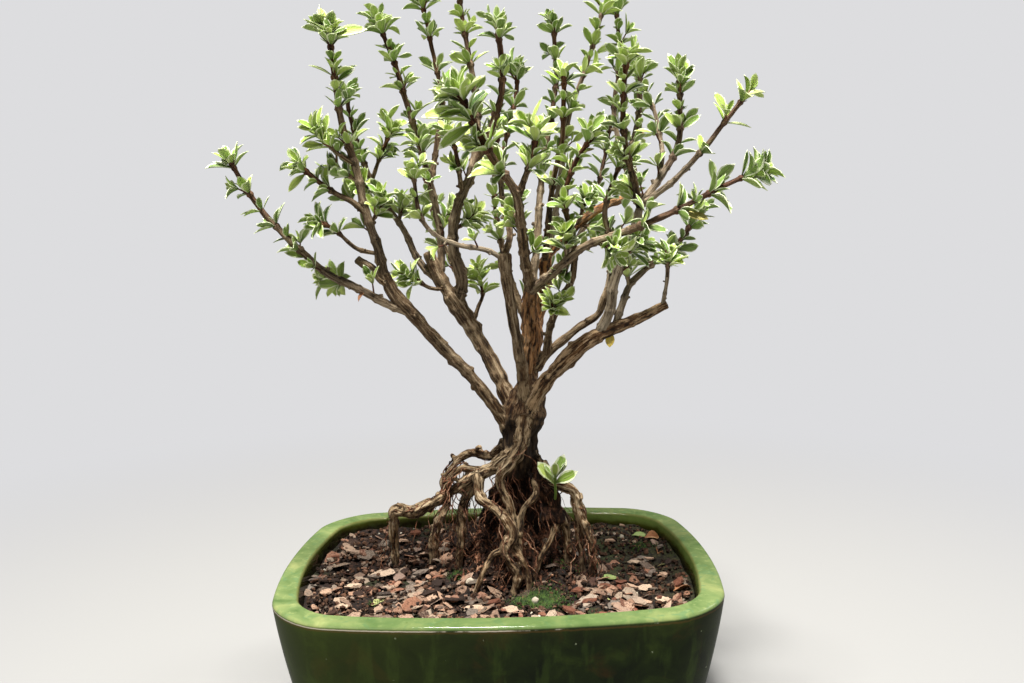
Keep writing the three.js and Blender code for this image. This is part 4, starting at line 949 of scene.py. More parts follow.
# %% Shoots
SHOOTS = plans("""
left_low: -50.5 14 -12, -62.5 19 -15, -79 27.5 -18, -91 33 -20, -106 45.5 -23, -115 54.5 -25,
    -125 65.5 -27, -134.5 79 -29, -141 90 -31; 2.3 0.8; 0.5
left_tall: -64 33 -15, -67 46.5 -16, -74 68 -18, -78.5 88.5 -20, -85 108.5 -22, -89.5 139 -24,
    -91.5 155 -25; 2.5 0.9; 0.5
left_side: -73 64 -18, -79.5 69.5 -22, -89 74.5 -26, -106 87 -32; 1.4 0.8; 0.4
left_twig: -68 44 -16, -77.5 46.5 -22, -89 56 -29, -97 60 -33; 1.1 0.7; 0.5
left_outer: -78.5 88 -20, -88 95 -26, -98 106 -33; 1.1 0.7; 0.35
left_crossing: -36 30 17, -45 38 18, -55.5 58 17, -64 69.5 15, -72 84 13, -80.5 110 10, -83 124 9; 1.9
    0.8; 0.62
left_inner: -70 80 14, -66.5 91 9, -61 105 4; 1.1 0.7; 0.25
second_tall: -36 31 17, -35.5 49 20, -39 71 22, -43.5 89 22, -51 113.5 22, -57.5 135.5 21, -67 160 19;
    2.1 0.9; 0.45
second_high: -41 78 22, -38 96 28, -35 120 34, -38.5 140 37, -45.5 172 39; 1.6 0.8; 0.4
second_main: -28 19 17, -25 30 14, -29 46 8, -29.5 57 5, -27 68 2, -18.5 87.5 -2, -9.5 109 -6,
    -5 128.5 -9, -7 158 -11; 3.2 1; 0.55
second_twig: -34 26 15, -42.5 27.5 8, -52 34 2; 1.1 0.7; 0.4
dead_twig: -20 7 16, -17 17 22, -14.5 24 25, -17 33 27; 1.2 0.6; 0.5
middle_tuft: -25 73 1, -26 82 -6, -29.5 101 -14; 1.3 0.8; 0.3
middle_tall: -22.5 79 0, -18 96 8, -17 112 14, -20.5 137 20, -25 163 24, -27 180 25; 1.9 0.9; 0.3
knob_trail: -4 41 -15, -12.5 45.5 -18, -27.5 48.5 -21, -38 53 -22, -45.5 62 -23, -49.5 84 -24; 1.3 0.7;
    0.6
knob_rise: -4 42 -15, -1 53 -9, -4 67 0, -5.5 81 9, -3.5 98 16, 2 124 23, 3 136 25; 1.6 0.8; 0.45
front_diagonal: 9.5 25 2, 6.5 41 -14, 4.5 60 -32, 2 74 -41, -9.5 91.5 -52, -20 110.5 -61, -26 124 -66;
    2.9 1; 0.6
front_right: 3 71 -39, 6 80 -43, 10.5 93.5 -50, 12 104 -54; 1.5 0.9; 0.3
right_long: 9.5 25 1, 22 35.5 -16, 37.5 48 -34, 59.5 56 -50, 81 65 -62, 104.5 77 -70, 124 85.5 -75; 2.5
    1.1; 0.55
right_rise: 43 3 -14, 49 16 -18, 50.5 27 -20, 55 41.5 -20, 60.5 55 -18, 64.5 68 -16, 76 84.5 -12,
    83 99 -10, 84 118 -8, 84 134 -7; 2.7 0.9; 0.66
right_outer: 65 69 -16, 79 79 -21, 93.5 93.5 -27, 107.5 111 -33, 117 123 -37; 1.5 0.8; 0.45
right_mid: 51 6.5 -15, 54.5 17 -9, 59.5 29 -2, 71.5 40 4, 82 48 8, 94 65.5 12; 1.9 0.9; 0.45
right_stub_twig: 75 17.5 -17, 77 27 -21, 78.5 43 -27; 1 0.7; 0.6
right_inner: 48 27 2, 50 39 3, 48.5 53 4, 46.5 63 3, 49 76 0, 55 91 -4; 1.8 0.8; 0.35
right_back: 61 84 39, 60 95 39, 63 110 37, 64 122 36, 62.5 135 35; 1.9 1; 0.2
right_grey: 74 82 -13, 75 95 -3, 71.5 113.5 6, 63 134 14; 1.3 0.7; 0.35
red_right: 64 66 -16, 61 81 -25, 56.5 100 -34, 55.5 121 -40, 57.5 142 -45; 1.7 0.9; 0.3
top_right: 60 78 39, 54 96 45, 51 116 49, 54 140 51, 52 168 51; 1.6 0.8; 0.4
grey_diagonal: 17 40 26, 21 60 31, 24 80 33, 28.5 112.5 37, 37.5 138.5 39, 45.5 166 41; 1.9 0.8; 0.45
red_centre: 16.5 38 25, 18 58 13, 21 82 4, 25 101 -3, 26 133 -11; 1.8 0.9; 0.4
centre_tall: 9.5 25 2, 12 43.5 5, 13 60 12, 15 85 20, 18 103.5 24, 22 128.5 27, 21 157 30; 2.2 0.9; 0.4
fork_rise: 17 -7 5, 18.5 4.5 0, 22 16 -4, 30 32 -11, 31 48.5 -17, 26.5 68 -22, 30 86 -26, 39.5 102 -30;
    2.1 0.8; 0.5
fork_tuft: 20 9 -2, 20 14 -8, 21 19 -12; 1.1 0.8; 0.3
rough_tuft: 33 58 34, 35 65 26, 37 72 20; 1.1 0.7; 0.35
back_left_shoot: -24 13 17, -27 32 36, -37 56 54, -43 80 64, -45 103 70; 2 0.8; 0.45
back_middle_shoot: 10 4 9, 1 26 32, -6 52 52, -9 78 64, -7 106 72; 2.2 0.8; 0.45
back_right_shoot: 15.5 24 18, 27 42 46, 38 62 64, 45 86 74, 49 108 79; 2 0.8; 0.45
root_sprout: 22 -71.5 -10, 21.5 -67 -12, 22.5 -62 -13; 0.9 0.6; 0.35
""")


# %% Spurs: on which limb, at what share, turned how far, and how long
SPURS = {
    "spur_left_low": ("left_low", 0.3, 200, 9),
    "spur_left_tall": ("left_tall", 0.22, 60, 10),
    "spur_left_tall_high": ("left_tall", 0.4, 250, 10),
    "spur_crossing": ("left_crossing", 0.35, 130, 9),
    "spur_crossing_high": ("left_crossing", 0.52, 300, 10),
    "spur_second_tall": ("second_tall", 0.2, 100, 9),
    "spur_second_main": ("second_main", 0.28, 340, 10),
    "spur_front": ("front_diagonal", 0.33, 120, 10),
    "spur_long": ("right_long", 0.25, 110, 9),
    "spur_long_far": ("right_long", 0.42, 260, 10),
    "spur_rise": ("right_rise", 0.3, 200, 10),
    "spur_rise_high": ("right_rise", 0.48, 20, 10),
    "spur_right_mid": ("right_mid", 0.3, 90, 9),
    "spur_fork": ("fork_rise", 0.38, 170, 9),
    "spur_rough": ("rough_bough", 0.6, 250, 10),
}


# %% Limbs
FINE_STEP = 0.6
TIP_THICKER, SLIM_TIPS = 1.25, {"right_long": 0.75}
SPROUT_STEM = ((21, -80, -8), (21.8, -75, -14.5), (21.5, -68, -14.5))
SPROUT_RADII = [0.8, 0.65]


def smooth_path(points):
    """The centripetal curve through the points: it has no loops where points lie close together."""
    ends = [2 * points[0] - points[1], *points, 2 * points[-1] - points[-2]]
    path = [points[0]]
    for before, start, finish, after in zip(ends, ends[1:], ends[2:], ends[3:]):
        legs = ((before, start), (start, finish), (finish, after))
        pull, span, push = ((b - a).length ** 0.5 for a, b in legs)
        leave = (start - before) / pull - (finish - before) / (pull + span) + (finish - start) / span
        arrive = (finish - start) / span - (after - start) / (span + push) + (after - finish) / push
        steps = max(3, round((finish - start).length / FINE_STEP))
        bend = (start + leave * span / 3, finish - arrive * span / 3)
        path += interpolate_bezier(start, *bend, finish, steps)[1:]
    return path


class Limb:
    """A curve with a radius at every share of its length."""

    def __init__(self, points, radii):
        self.path = np.array(smooth_path(points))
        steps = np.linalg.norm(np.diff(self.path, axis=0), axis=1)
        self.run = np.concatenate(([0], np.cumsum(steps)))
        self.length = self.run[-1]
        self.radii = radii

    def places(self, shares):
        at = np.asarray(shares) * self.length
        return np.stack([np.interp(at, self.run, axis) for axis in self.path.T], -1)

    def radius(self, shares):
        return np.interp(shares, np.linspace(0, 1, len(self.radii)), self.radii)

    def place(self, share):
        return Vector(self.places(share))

    def heading(self, share):
        return (self.place(min(share + 0.01, 1)) - self.place(max(share - 0.01, 0))).normalized()


def sideways(heading, turn):
    """A direction square to a heading: level, then turned about it."""
    flat = Vector((0, 0, 1)).cross(heading)
    if flat.length < 0.1:
        flat = Vector((1, 0, 0)) - heading * heading.x
    return Matrix.Rotation(turn, 3, heading) @ flat.normalized()


SPUR_RUN, SPUR_OUT, SPUR_RISE, SPUR_SAG, SPUR_RADII = 0.6, 0.8, 1.5, 0.5, [0.95, 0.7]


def spur_limb(limb, share, turn, length):
    """A short spur leaves its limb at a slant and turns up a little."""
    heading = limb.heading(share)
    out = SPUR_RUN * heading + SPUR_OUT * sideways(heading, math.radians(turn))
    root = limb.place(share)
    tip = root + out * (float(limb.radius(share)) + length) + Vector((0, 0, SPUR_RISE))
    middle = root.lerp(tip, 0.5) - Vector((0, 0, SPUR_SAG))
    return Limb([root, middle, tip], SPUR_RADII)


limbs = {name: Limb([place(point) for point in plan[0]], plan[1])
         for group in (ROOTS, BOUGHS, SHOOTS) for name, plan in group.items()}
for name in SHOOTS:
    thicker = SLIM_TIPS.get(name, TIP_THICKER)
    limbs[name].radii = [*limbs[name].radii[:-1], limbs[name].radii[-1] * thicker]
limbs["root_sprout"] = Limb([place(point) for point in SPROUT_STEM], SPROUT_RADII)
for name, (on, share, turn, length) in SPURS.items():
    limbs[name] = spur_limb(limbs[on], share, turn, length)
print(len(limbs), "limbs,", round(sum(limb.length for limb in limbs.values()) / 1000, 1), "metres in all")

# %% [markdown]
# ## From a limb to a skin
# A Blender curve with a bevel is the quickest way to a tube of changing radius. Real wood isn't a
# smooth tube: the radius swells and shrinks, the line wanders a little, and there is a knuckle at
# each node where leaves once sat. All this comes from a noise of the place itself, so that two
# stretches of one limb, made in two pieces, still meet.

# %% Tubes
WANDER, LUMP, SMALL_LUMP, KNUCKLE = 9.0, 5.5, 2.1, 0.9
SAME_SPOT = 1e-4
SMOOTHINGS = 2


def rough_run(limb, first, last, step, wander, lump, nodes=(), swell=0):
    """Places and radii along a stretch of a limb, made uneven, with a knuckle at each node."""
    count = max(3, round(limb.length * (last - first) / step) + 1)
    shares = np.linspace(first, last, count)
    run = []
    for spot, radius, share in zip(limb.places(shares), limb.radius(shares), shares):
        spot = Vector(spot)
        radius *= 1 + lump * noise.noise(spot / LUMP) + lump * 0.5 * noise.noise(spot / SMALL_LUMP)
        radius *= 1 + sum(swell * math.exp(-(((share - node) * limb.length) / KNUCKLE) ** 2)
                          for node in nodes)
        run.append((spot + wander * noise.noise_vector(spot / WANDER), radius))
    return run


def tubes(name, runs, corners):
    """One mesh of closed tubes; corners is even."""
    line = bpy.data.curves.new(name, "CURVE")
    line.dimensions = "3D"
    line.bevel_depth, line.bevel_resolution, line.use_fill_caps = 1, corners // 2 - 2, True
    for run in runs:
        spline = line.splines.new("POLY")
        spline.points.add(len(run) - 1)
        for point, (spot, radius) in zip(spline.points, run):
            point.co, point.radius = (*spot, 1), radius
    holder = bpy.data.objects.new(name, line)
    bm = bmesh.new()
    bm.from_mesh(bpy.data.meshes.new_from_object(holder))
    bmesh.ops.remove_doubles(bm, verts=bm.verts, dist=SAME_SPOT)
    bpy.data.objects.remove(holder)
    return mesh_of(name, bm)


def fuse(mesh, voxel):
    """One skin round all the closed shapes of a mesh, as flesh covers bones."""
    holder = bpy.data.objects.new("fusing", mesh)
    scene.collection.objects.link(holder)
    skin = holder.modifiers.new("skin", "REMESH")
    skin.mode, skin.voxel_size = "VOXEL", voxel
    whole = holder.evaluated_get(bpy.context.evaluated_depsgraph_get())
    bm = bmesh.new()
    bm.from_mesh(bpy.data.meshes.new_from_object(whole))
    bpy.data.objects.remove(holder)
    every_way = {"use_axis_x": True, "use_axis_y": True, "use_axis_z": True}
    for _ in range(SMOOTHINGS):
        bmesh.ops.smooth_vert(bm, verts=bm.verts, factor=0.5, **every_way)
    return mesh_of(mesh.name, bm)


# %% [markdown]
# Bark runs along a limb, so its finish needs to know which way that is. For every vertex the
# nearest limb is found, and the vertex is marked with its place in that limb's own space, two
# numbers round it and one along it, and with how thick, how young and how earthy the bark is there.
# An earthiness below zero means bark that sun has bleached, as on the twigs at the right. The
# trunk's earthiness is raised as painted shade, and hollows and undersides add painted shade later.

# %% Marks along the limbs
SAMPLE_STEP = 2.0
GRAIN_SHIFT = 37
EARTHY_HEIGHT = 16
SEARCH_MARGIN = 5
PALE_LIMBS = {"right_rise": 0.9, "right_mid": 0.6, "right_grey": 1.0, "grey_diagonal": 1.0,
              "right_stub_twig": 1.0, "right_inner": 0.7, "right_outer": 0.6, "right_back": 0.8,
              "knob_trail": 0.9, "right_long": 0.4, "left_low": 0.4, "centre_tall": 0.5,
              "back_right_shoot": 0.6, "second_main": 0.4, "left_tall": 0.3, "second_tall": 0.3,
              "left_crossing": 0.4, "middle_tall": 0.5, "top_right": 0.5}


def limb_frames(limb, first, last):
    """Samples along a stretch: shares, centres, headings, two directions square to them, radii."""
    shares = np.linspace(first, last, max(3, round(limb.length * (last - first) / SAMPLE_STEP) + 1))
    centres = limb.places(shares)
    headings = np.gradient(centres, axis=0)
    headings /= np.linalg.norm(headings, axis=1, keepdims=True)
    sides = [np.array(sideways(Vector(headings[0]), 0))]
    for heading in headings[1:]:
        side = sides[-1] - heading * (sides[-1] @ heading)
        sides.append(side / np.linalg.norm(side))
    sides = np.array(sides)
    return shares, centres, headings, sides, np.cross(headings, sides), limb.radius(shares)


def places_of(mesh):
    """The places of a mesh's vertices, a row for each."""
    places = np.empty(len(mesh.vertices) * 3, np.float32)
    mesh.vertices.foreach_get("co", places)
    return places.reshape(-1, 3)


def mark_wood(mesh, stretches):
    """Writes the grain and bark marks. A stretch is (limb, first, last, youth at both ends, paleness); a
    paleness below zero is painted shade.
    """
    spots = places_of(mesh)
    nearest = np.full(len(spots), np.inf)
    grain, bark = np.zeros((len(spots), 3)), np.zeros((len(spots), 3))
    for index, (limb, first, last, youth, pale) in enumerate(stretches):
        shares, centres, headings, sides, others, radii = limb_frames(limb, first, last)
        margin = radii.max() + SEARCH_MARGIN
        inside = (spots > centres.min(0) - margin) & (spots < centres.max(0) + margin)
        near = np.flatnonzero(inside.all(1))
        offsets = spots[near, None] - centres[None]
        gaps = np.linalg.norm(offsets, axis=2) - radii
        pick = gaps.argmin(1)
        gap = gaps[np.arange(len(near)), pick]
        won = gap < nearest[near]
        near, pick = near[won], pick[won]
        offset = spots[near] - centres[pick]
        nearest[near] = gap[won]
        along = shares[pick] * limb.length + (offset * headings[pick]).sum(1)
        grain[near] = np.stack([(offset * sides[pick]).sum(1), (offset * others[pick]).sum(1),
                                along + index * GRAIN_SHIFT], 1)
        bark[near, 0] = radii[pick]
        bark[near, 1] = np.interp(shares[pick], (first, last), youth)
        bark[near, 2] = -pale
    heights = spots[:, 2] - np.array([soil_height(x, y) for x, y, _ in spots.tolist()])
    bark[:, 2] += np.clip(1 - heights / EARTHY_HEIGHT, 0, 1)
    write_mark(mesh, "grain", grain)
    write_mark(mesh, "bark", bark)
    return grain, bark


# %% [markdown]
# ## Roots, trunk and boughs
# The roots were lifted out of the soil over years, so they stand like knotted cords and grow
# together where they touch. Tubes that merely cross would show a seam at each crossing, so all
# the tubes are fused into one skin on a fine grid of voxels. A relief then follows the grain: long
# fibres on the boughs, coarser lumps on the roots. Short stumps of old twigs stand all along.

# %% The wood's mesh
VOXEL, WOOD_CORNERS, WOOD_STEP = 0.68, 16, 1.2
ROOT_WANDER, ROOT_LUMP, BOUGH_WANDER, BOUGH_LUMP = 1.0, 0.48, 0.5, 0.2
KNOT_SPACING, KNOT_SHIFT, KNOT_REACH = 10, 0.3, (0.6, 1.7)
KNOT_TURN, KNOT_SLANT, KNOT_GIRTH = (1.8, 3.2), (0.2, 0.8), (0.75, 1.1)
KNOT_SHARE, THICKEST_KNOT = 0.45, 1.6
STRANDS, STRAND_STEP, STRAND_SWAY, STRAND_GIRTH = 2, 1.6, 0.12, 0.42
FIBRE_DEPTH, LUMP_DEPTH, FULL_RELIEF = 0.6, 0.45, 4.5
FIBRE_SCALE, CRACK_SCALE, LUMP_SCALE = (0.55, 0.12), (0.36, 0.08), (0.3, 0.28)
BOUGH_YOUTH = (0.1, 0.35)
PEELING = {"rough_bough": 0.9, "trunk": 0.5, "centre_right": 0.8, "right_bough": 0.3}
TRUNK_SHADE = 1.25
BOUGH_RELIEF = 0.65
UNDERSIDE_SHADE = 1.2
# Each hollow is carved into the wood and also darkened with painted shade, through HOLLOW_SHADE.
HOLLOWS = (  # across, up, depth, how wide, how deep
    (0.5, -43.5, -6.5, 3.0, 3.2), (11.5, -49, -4, 3.6, 2.4), (11.5, -55, -5, 4.4, 1.8),
    (11, -66, -5, 4.6, 3.4), (-2.5, -51, -6, 2.4, 2.2), (5, -70, -4, 4.2, 3.0), (-4, -46, -3, 2.2, 1.6))
HOLLOW_SHADE = 3.0
STUBS = (  # limb, share, heading, radius, reach
    ("left_back", 0.12, (0.5, -0.4, 0.9), 1.7, 5.5), ("left_back", 0.2, (-0.2, -0.3, 1), 2.0, 4.5),
    ("left_arch", 0.62, (-0.5, -0.7, 0.5), 3.4, 4.2), ("left_arch", 0.1, (0.3, -0.2, 1), 1.5, 6.5),
    ("right_arch", 0.42, (0.4, -0.6, 0.7), 2.6, 3.4), ("left_back", 0.35, (-0.6, 0.2, 0.9), 1.2, 5),
    ("front_twist", 0.5, (-0.6, -0.6, 0.2), 1.6, 3.6), ("left_arch", 0.3, (-0.5, -0.5, 0.8), 1.3, 4.4))


def knots(limb, first, last, draws):
    """Short stumps of old twigs, on alternate sides of a limb."""
    stumps = []
    turn = any_turn(draws)
    for share in np.arange(first, last, KNOT_SPACING / limb.length).tolist():
        share += draws.uniform(-KNOT_SHIFT, KNOT_SHIFT) * KNOT_SPACING / limb.length
        if not 0 < share < last:
            continue
        turn += draws.uniform(*KNOT_TURN)
        root, heading, radius = limb.place(share), limb.heading(share), float(limb.radius(share))
        out = (sideways(heading, turn) + heading * draws.uniform(*KNOT_SLANT)).normalized()
        thick = min(KNOT_SHARE * radius, THICKEST_KNOT) * draws.uniform(*KNOT_GIRTH)
        reach = radius + draws.uniform(*KNOT_REACH)
        stumps.append([(root, thick * 1.5), (root + out * radius, thick * 1.25),
                       (root + out * reach, thick)])
    return stumps


def strands(limb, draws):
    """Thinner roots that have grown along a big one and wind about it."""
    shares = np.linspace(0.05, 0.95, max(6, round(limb.length / STRAND_STEP)))
    found = []
    for _ in range(STRANDS):
        turn, pace = any_turn(draws), draws.uniform(-0.9, 0.9) / len(shares) * 7
        run = []
        for share in shares.tolist():
            turn += pace + draws.gauss(0, STRAND_SWAY)
            radius = float(limb.radius(share))
            away = radius * (0.75 + 0.45 * noise.noise(Vector((share * limb.length / 6, turn, 3))))
            spot = limb.place(share) + sideways(limb.heading(share), turn) * away
            run.append((spot, STRAND_GIRTH * radius))
        found.append(run)
    return found


def wood_tubes(draws):
    """The runs of all tubes that grew as one piece, and the stretches that their bark follows."""
    runs, stretches = [], []
    for name in ROOTS:
        limb = limbs[name]
        runs.append(rough_run(limb, 0, 1, WOOD_STEP, ROOT_WANDER, ROOT_LUMP))
        runs += knots(limb, 0.15, 0.8, draws) + strands(limb, draws)
        stretches.append((limb, 0, 1, (0, 0), 0))
    for name in BOUGHS:
        limb, trunk = limbs[name], name == "trunk"
        runs.append(rough_run(limb, 0, 1, WOOD_STEP, BOUGH_WANDER, BOUGH_LUMP))
        runs += knots(limb, 1 if trunk else 0.3, 0.97, draws)
        youth = (-PEELING[name],) * 2 if name in PEELING else BOUGH_YOUTH
        # The trunk's paleness is below zero: painted shade that darkens all of its bark.
        stretches.append((limb, 0, 1, youth, -TRUNK_SHADE if trunk else 0))
    for name, share, heading, radius, reach in STUBS:
        root = limbs[name].place(share)
        tip = root + Vector(heading).normalized() * reach
        runs.append([(root, radius * 0.8), (root.lerp(tip, 0.6), radius), (tip, radius * 0.92)])
    return runs, stretches


def grain_noise(place_in_limb, scale, shift=(0, 0)):
    """A noise of a place in a limb's space, with one scale across the grain and one along it."""
    u, v, along = place_in_limb
    return noise.noise(Vector((u * scale[0] + shift[0], v * scale[0], along * scale[1] + shift[1])))


def wood_relief(grain, bark):
    """How far each vertex stands out, in millimetres."""
    relief = []
    for spot, (girth, youth, _) in zip(grain.tolist(), bark.tolist()):
        fibre = grain_noise(spot, FIBRE_SCALE)
        crack = abs(grain_noise(spot, CRACK_SCALE, (9, 0)))
        lump = grain_noise(spot, LUMP_SCALE, (0, 50))
        size = min(girth / FULL_RELIEF, 1.3) * (1 if youth == 0 else BOUGH_RELIEF)
        relief.append(size * (FIBRE_DEPTH * fibre + LUMP_DEPTH * lump + FIBRE_DEPTH * (crack - 0.25)))
    return np.array(relief, np.float32)


def wood_mesh():
    runs, stretches = wood_tubes(random.Random(17))
    mesh = fuse(tubes("fused_roots_and_boughs", runs, WOOD_CORNERS), VOXEL)
    grain, bark = mark_wood(mesh, stretches)
    normals = np.empty(len(mesh.vertices) * 3, np.float32)
    mesh.vertex_normals.foreach_get("vector", normals)
    normals = normals.reshape(-1, 3)
    spots, relief = places_of(mesh), wood_relief(grain, bark)
    for across, up, depth, wide, deep in HOLLOWS:
        away = np.linalg.norm(spots - np.array(place((across, up, depth)), np.float32), axis=1)
        hollow = np.exp(-(away / wide) ** 2)
        relief -= deep * hollow
        # Painted shade in the hollows, added to the earthiness.
        bark[:, 2] += HOLLOW_SHADE * hollow
    # Painted shade: the undersides of the wood are darkened, as they face away from the light.
    bark[:, 2] += UNDERSIDE_SHADE * np.clip(-normals[:, 2], 0, 1)
    write_mark(mesh, "bark", bark)
    spots += normals * relief[:, None]
    mesh.vertices.foreach_set("co", spots.ravel())
    mesh.update()
    return mesh


# %% [markdown]
# The bark of an old bough is grey brown with olive shadows and tan flakes where it has peeled. On
# a root it is darker and earthier near the soil. The wood of last year's twigs is reddish brown.
# One finish serves them all, because the marks say how young and how earthy each spot is, and the
# earthiness also carries painted shade on the trunk, in hollows and on undersides. Its noises read
# the grain, squeezed along the limb, so that every streak follows the wood. A youth below zero
# stands for the boughs whose bark peels in orange-brown fibres.

# %% The bark
def bark_finish(name, fine=1.0):
    finish = Finish(name)
    _, youth, earth_and_painted_shade = finish.parts("bark")
    grain = finish.mark("grain", "Vector")
    streaked = finish.squeezed(grain, 0.09)
    squat = finish.squeezed(grain, 0.4)
    fibre = finish.noise(streaked, 0.9 * fine, detail=7, roughness=0.7)
    flakes_at = finish.noise(squat, 0.42 * fine, detail=5, roughness=0.62)
    pores = finish.noise(grain, 2.2 * fine, detail=3)
    flake = finish.between(flakes_at + fibre * 0.35, 0.62, 0.78)
    broad = finish.noise(finish.squeezed(grain, 0.07), 0.45, detail=5)
    stand = finish.noise(finish.where(), per(55), detail=2)
    streak = fibre * 0.65 + broad * 0.35
    old = finish.ramp(streak, (0.38, 0x130a05), (0.46, 0x321f0e), (0.53, 0x654a2e), (0.61, 0xd2bc9c))
    reddish = finish.ramp(fibre, (0.32, 0x200f08), (0.5, 0x4e2c1d), (0.68, 0x936a4e))
    olive = finish.ramp(streak, (0.38, 0x191409), (0.48, 0x443824), (0.59, 0xb2a488))
    peel = finish.ramp(streak, (0.38, 0x261308), (0.47, 0x6c3c1a), (0.56, 0xba7c42), (0.66, 0xe0bc90))
    colour = finish.mix(finish.between(flakes_at * 0.5 + stand * 0.5, 0.48, 0.56) * 0.6, old, olive)
    colour = finish.wash(colour, flake * (1 - youth) * 0.5, 0xc9ab84)
    peeling = finish.between(0 - youth, 0, 1) * finish.between(flakes_at * 0.4 + fibre * 0.6, 0.42, 0.56)
    colour = finish.mix(peeling * 0.85, colour, peel)
    smooth = finish.ramp(pores * 0.3 + broad * 0.7, (0.38, 0x241810), (0.5, 0x58452f), (0.64, 0xa8957a))
    colour = finish.mix(finish.between(youth, 0.1, 0.2) * 0.5, colour, smooth)
    colour = finish.mix(finish.between(youth + flakes_at * 0.5, 0.75, 1.15), colour, reddish)
    colour = finish.wash(colour, finish.between(youth, 1.2, 1.8) * 0.9, 0x75903f)
    crack = 1 - finish.between(streak, 0.36, 0.475)
    root_like = 1 - finish.between(finish.math("ABSOLUTE", youth), 0.01, 0.1) * 0.1
    colour = finish.wash(colour, crack * root_like * 0.85, 0x100904)
    # The earthiness darkens the bark near the soil, and it also carries painted shade on the trunk, in
    # hollows and on undersides, so both washes below are partly dirt and partly painted shade.
    soiled_and_shaded = finish.between(earth_and_painted_shade + (fibre - 0.5) * 0.5, 0.25, 0.95)
    colour = finish.wash(colour, soiled_and_shaded * 0.45, 0x2b1b12)
    colour = finish.wash(colour, finish.between(earth_and_painted_shade, 0.95, 1.8) * 0.85, 0x140c07)
    bleached = finish.between(0 - earth_and_painted_shade, 0, 1) * finish.between(fibre, 0.36, 0.58)
    colour = finish.wash(colour, bleached * 0.75, 0xa39680)
    relief = fibre * 0.6 + broad * 0.5 + flake * 0.2 + pores * 0.15
    return finish.dress(colour, 0.74 + fibre * 0.24, relief, 0.0012 / fine, Specular_IOR_Level=0.25)


bark = bark_finish("bark")
keep("fused_roots_and_boughs", wood_mesh(), [bark], ["roots_trunk_and_boughs"], crease=180)

# %% [markdown]
# ## Bare twigs
# The lower part of each shoot is bare. It is thin enough that its foot can simply stand in the
# bough, so it stays a tube, with a knuckle every centimetre where a pair of leaves has fallen.

# %% The bare lower stretch of every shoot
NODE_SPACING, FIRST_NODE, BARE_KNUCKLE = 9.5, (4, 9), 0.24
TWIG_WANDER, TWIG_LUMP, BARE_STEP, BARE_CORNERS = 0.35, 0.14, 1.0, 10
YOUTH_AT_FOOT, YOUTH_AT_TIP = 0.15, 0.95


def youth_at(share):
    """Wood is youngest at the tip."""
    return YOUTH_AT_FOOT + (YOUTH_AT_TIP - YOUTH_AT_FOOT) * share


def bare_twigs():
    draws = random.Random(23)
    runs, stretches = [], []
    for name, (_, _, bare, *_) in SHOOTS.items():
        if name == "root_sprout":
            continue
        limb = limbs[name]
        nodes = np.arange(draws.uniform(*FIRST_NODE), bare * limb.length, NODE_SPACING) / limb.length
        runs.append(rough_run(limb, 0, bare, BARE_STEP, TWIG_WANDER, TWIG_LUMP, nodes, BARE_KNUCKLE))
        runs += knots(limb, 0.12, bare * 0.95, draws)
        stretches.append((limb, 0, bare, (YOUTH_AT_FOOT, youth_at(bare)), PALE_LIMBS.get(name, 0)))
    mesh = tubes("bare_twigs", runs, BARE_CORNERS)
    mark_wood(mesh, stretches)
    return mesh


keep("bare_twigs", bare_twigs(), [bark], crease=70)

# %% [markdown]
# ## The inner roots
# Under the trunk the roots are so many that no light comes through: a dark, fibrous mass stands
# between the trunk's foot and the mound. It is a bundle of wavering tubes, fused in the same way.

# %% A bundle of inner roots
INNER_ROOTS, INNER_THICK, INNER_SWAY, INNER_DRIFT = 22, (1.5, 3), 1.5, 0.12
INNER_TOP, INNER_FOOT = ((-2, 14), -60, (-2, 9)), ((-14, 26), -91, (-12, 14))  # across, up, depth
INNER_WANDER, INNER_LUMP, INNER_CORNERS, INNER_VOXEL = 1.2, 0.6, 10, 0.9
INNER_ROUGHNESS, INNER_FIBRE, INNER_SQUEEZE = Vector((0.5, 0.5, 0.2)), 1.4, 0.4


def inner_place(level, share, depth):
    """The place at a share across and a share into the bundle at one of its ends."""
    (left, right), up, (near, far) = level
    return place((left + (right - left) * share, up, near + (far - near) * depth))


def inner_roots():
    draws = random.Random(53)
    runs = []
    for _ in range(INNER_ROOTS):
        share, depth = draws.random(), draws.random()
        start = inner_place(INNER_TOP, share, depth)
        end = inner_place(INNER_FOOT, min(max(share + draws.gauss(0, INNER_DRIFT), 0), 1), depth)
        thick = draws.uniform(*INNER_THICK)
        sway = Vector((draws.gauss(0, INNER_SWAY), draws.gauss(0, INNER_SWAY), 0))
        limb = Limb([start, start.lerp(end, 0.5) + sway, end], [thick * 0.8, thick, thick * 1.15])
        runs.append(rough_run(limb, 0, 1, WOOD_STEP, INNER_WANDER, INNER_LUMP))
    mesh = fuse(tubes("packed_inner_roots", runs, INNER_CORNERS), INNER_VOXEL)
    for vert in mesh.vertices:
        spot = vert.co
        rough = noise.noise(Vector((spot.x, spot.y, spot.z * INNER_SQUEEZE)) / INNER_FIBRE)
        vert.co = spot + INNER_ROUGHNESS * rough
    return mesh


def matted_finish():
    finish = Finish("matted_roots")
    at = finish.squeezed(finish.where(), 0.35)
    fibre = finish.noise(at, per(1.6), detail=7, roughness=0.7, warp=0.6)
    patch = finish.noise(finish.where(), per(8), detail=3)
    colour = finish.ramp(fibre * 0.7 + patch * 0.3, (0.38, 0x0c0704), (0.5, 0x26170f), (0.6, 0x5c3e2b),
                         (0.7, 0xa07c5e))
    return finish.dress(colour, 0.9, fibre, 0.0009, Specular_IOR_Level=0.2)


keep("packed_inner_roots", inner_roots(), [matted_finish()], crease=180)

# %% [markdown]
# ## Rootlets
# Between the big roots hangs a beard of fine ones, and the mound is a felt of them. A hair system
# would be lost in the export, so each is a real tube with four sides. A hanging rootlet starts
# on a big root, falls and wavers until it meets the soil; a felted one creeps over the mound.

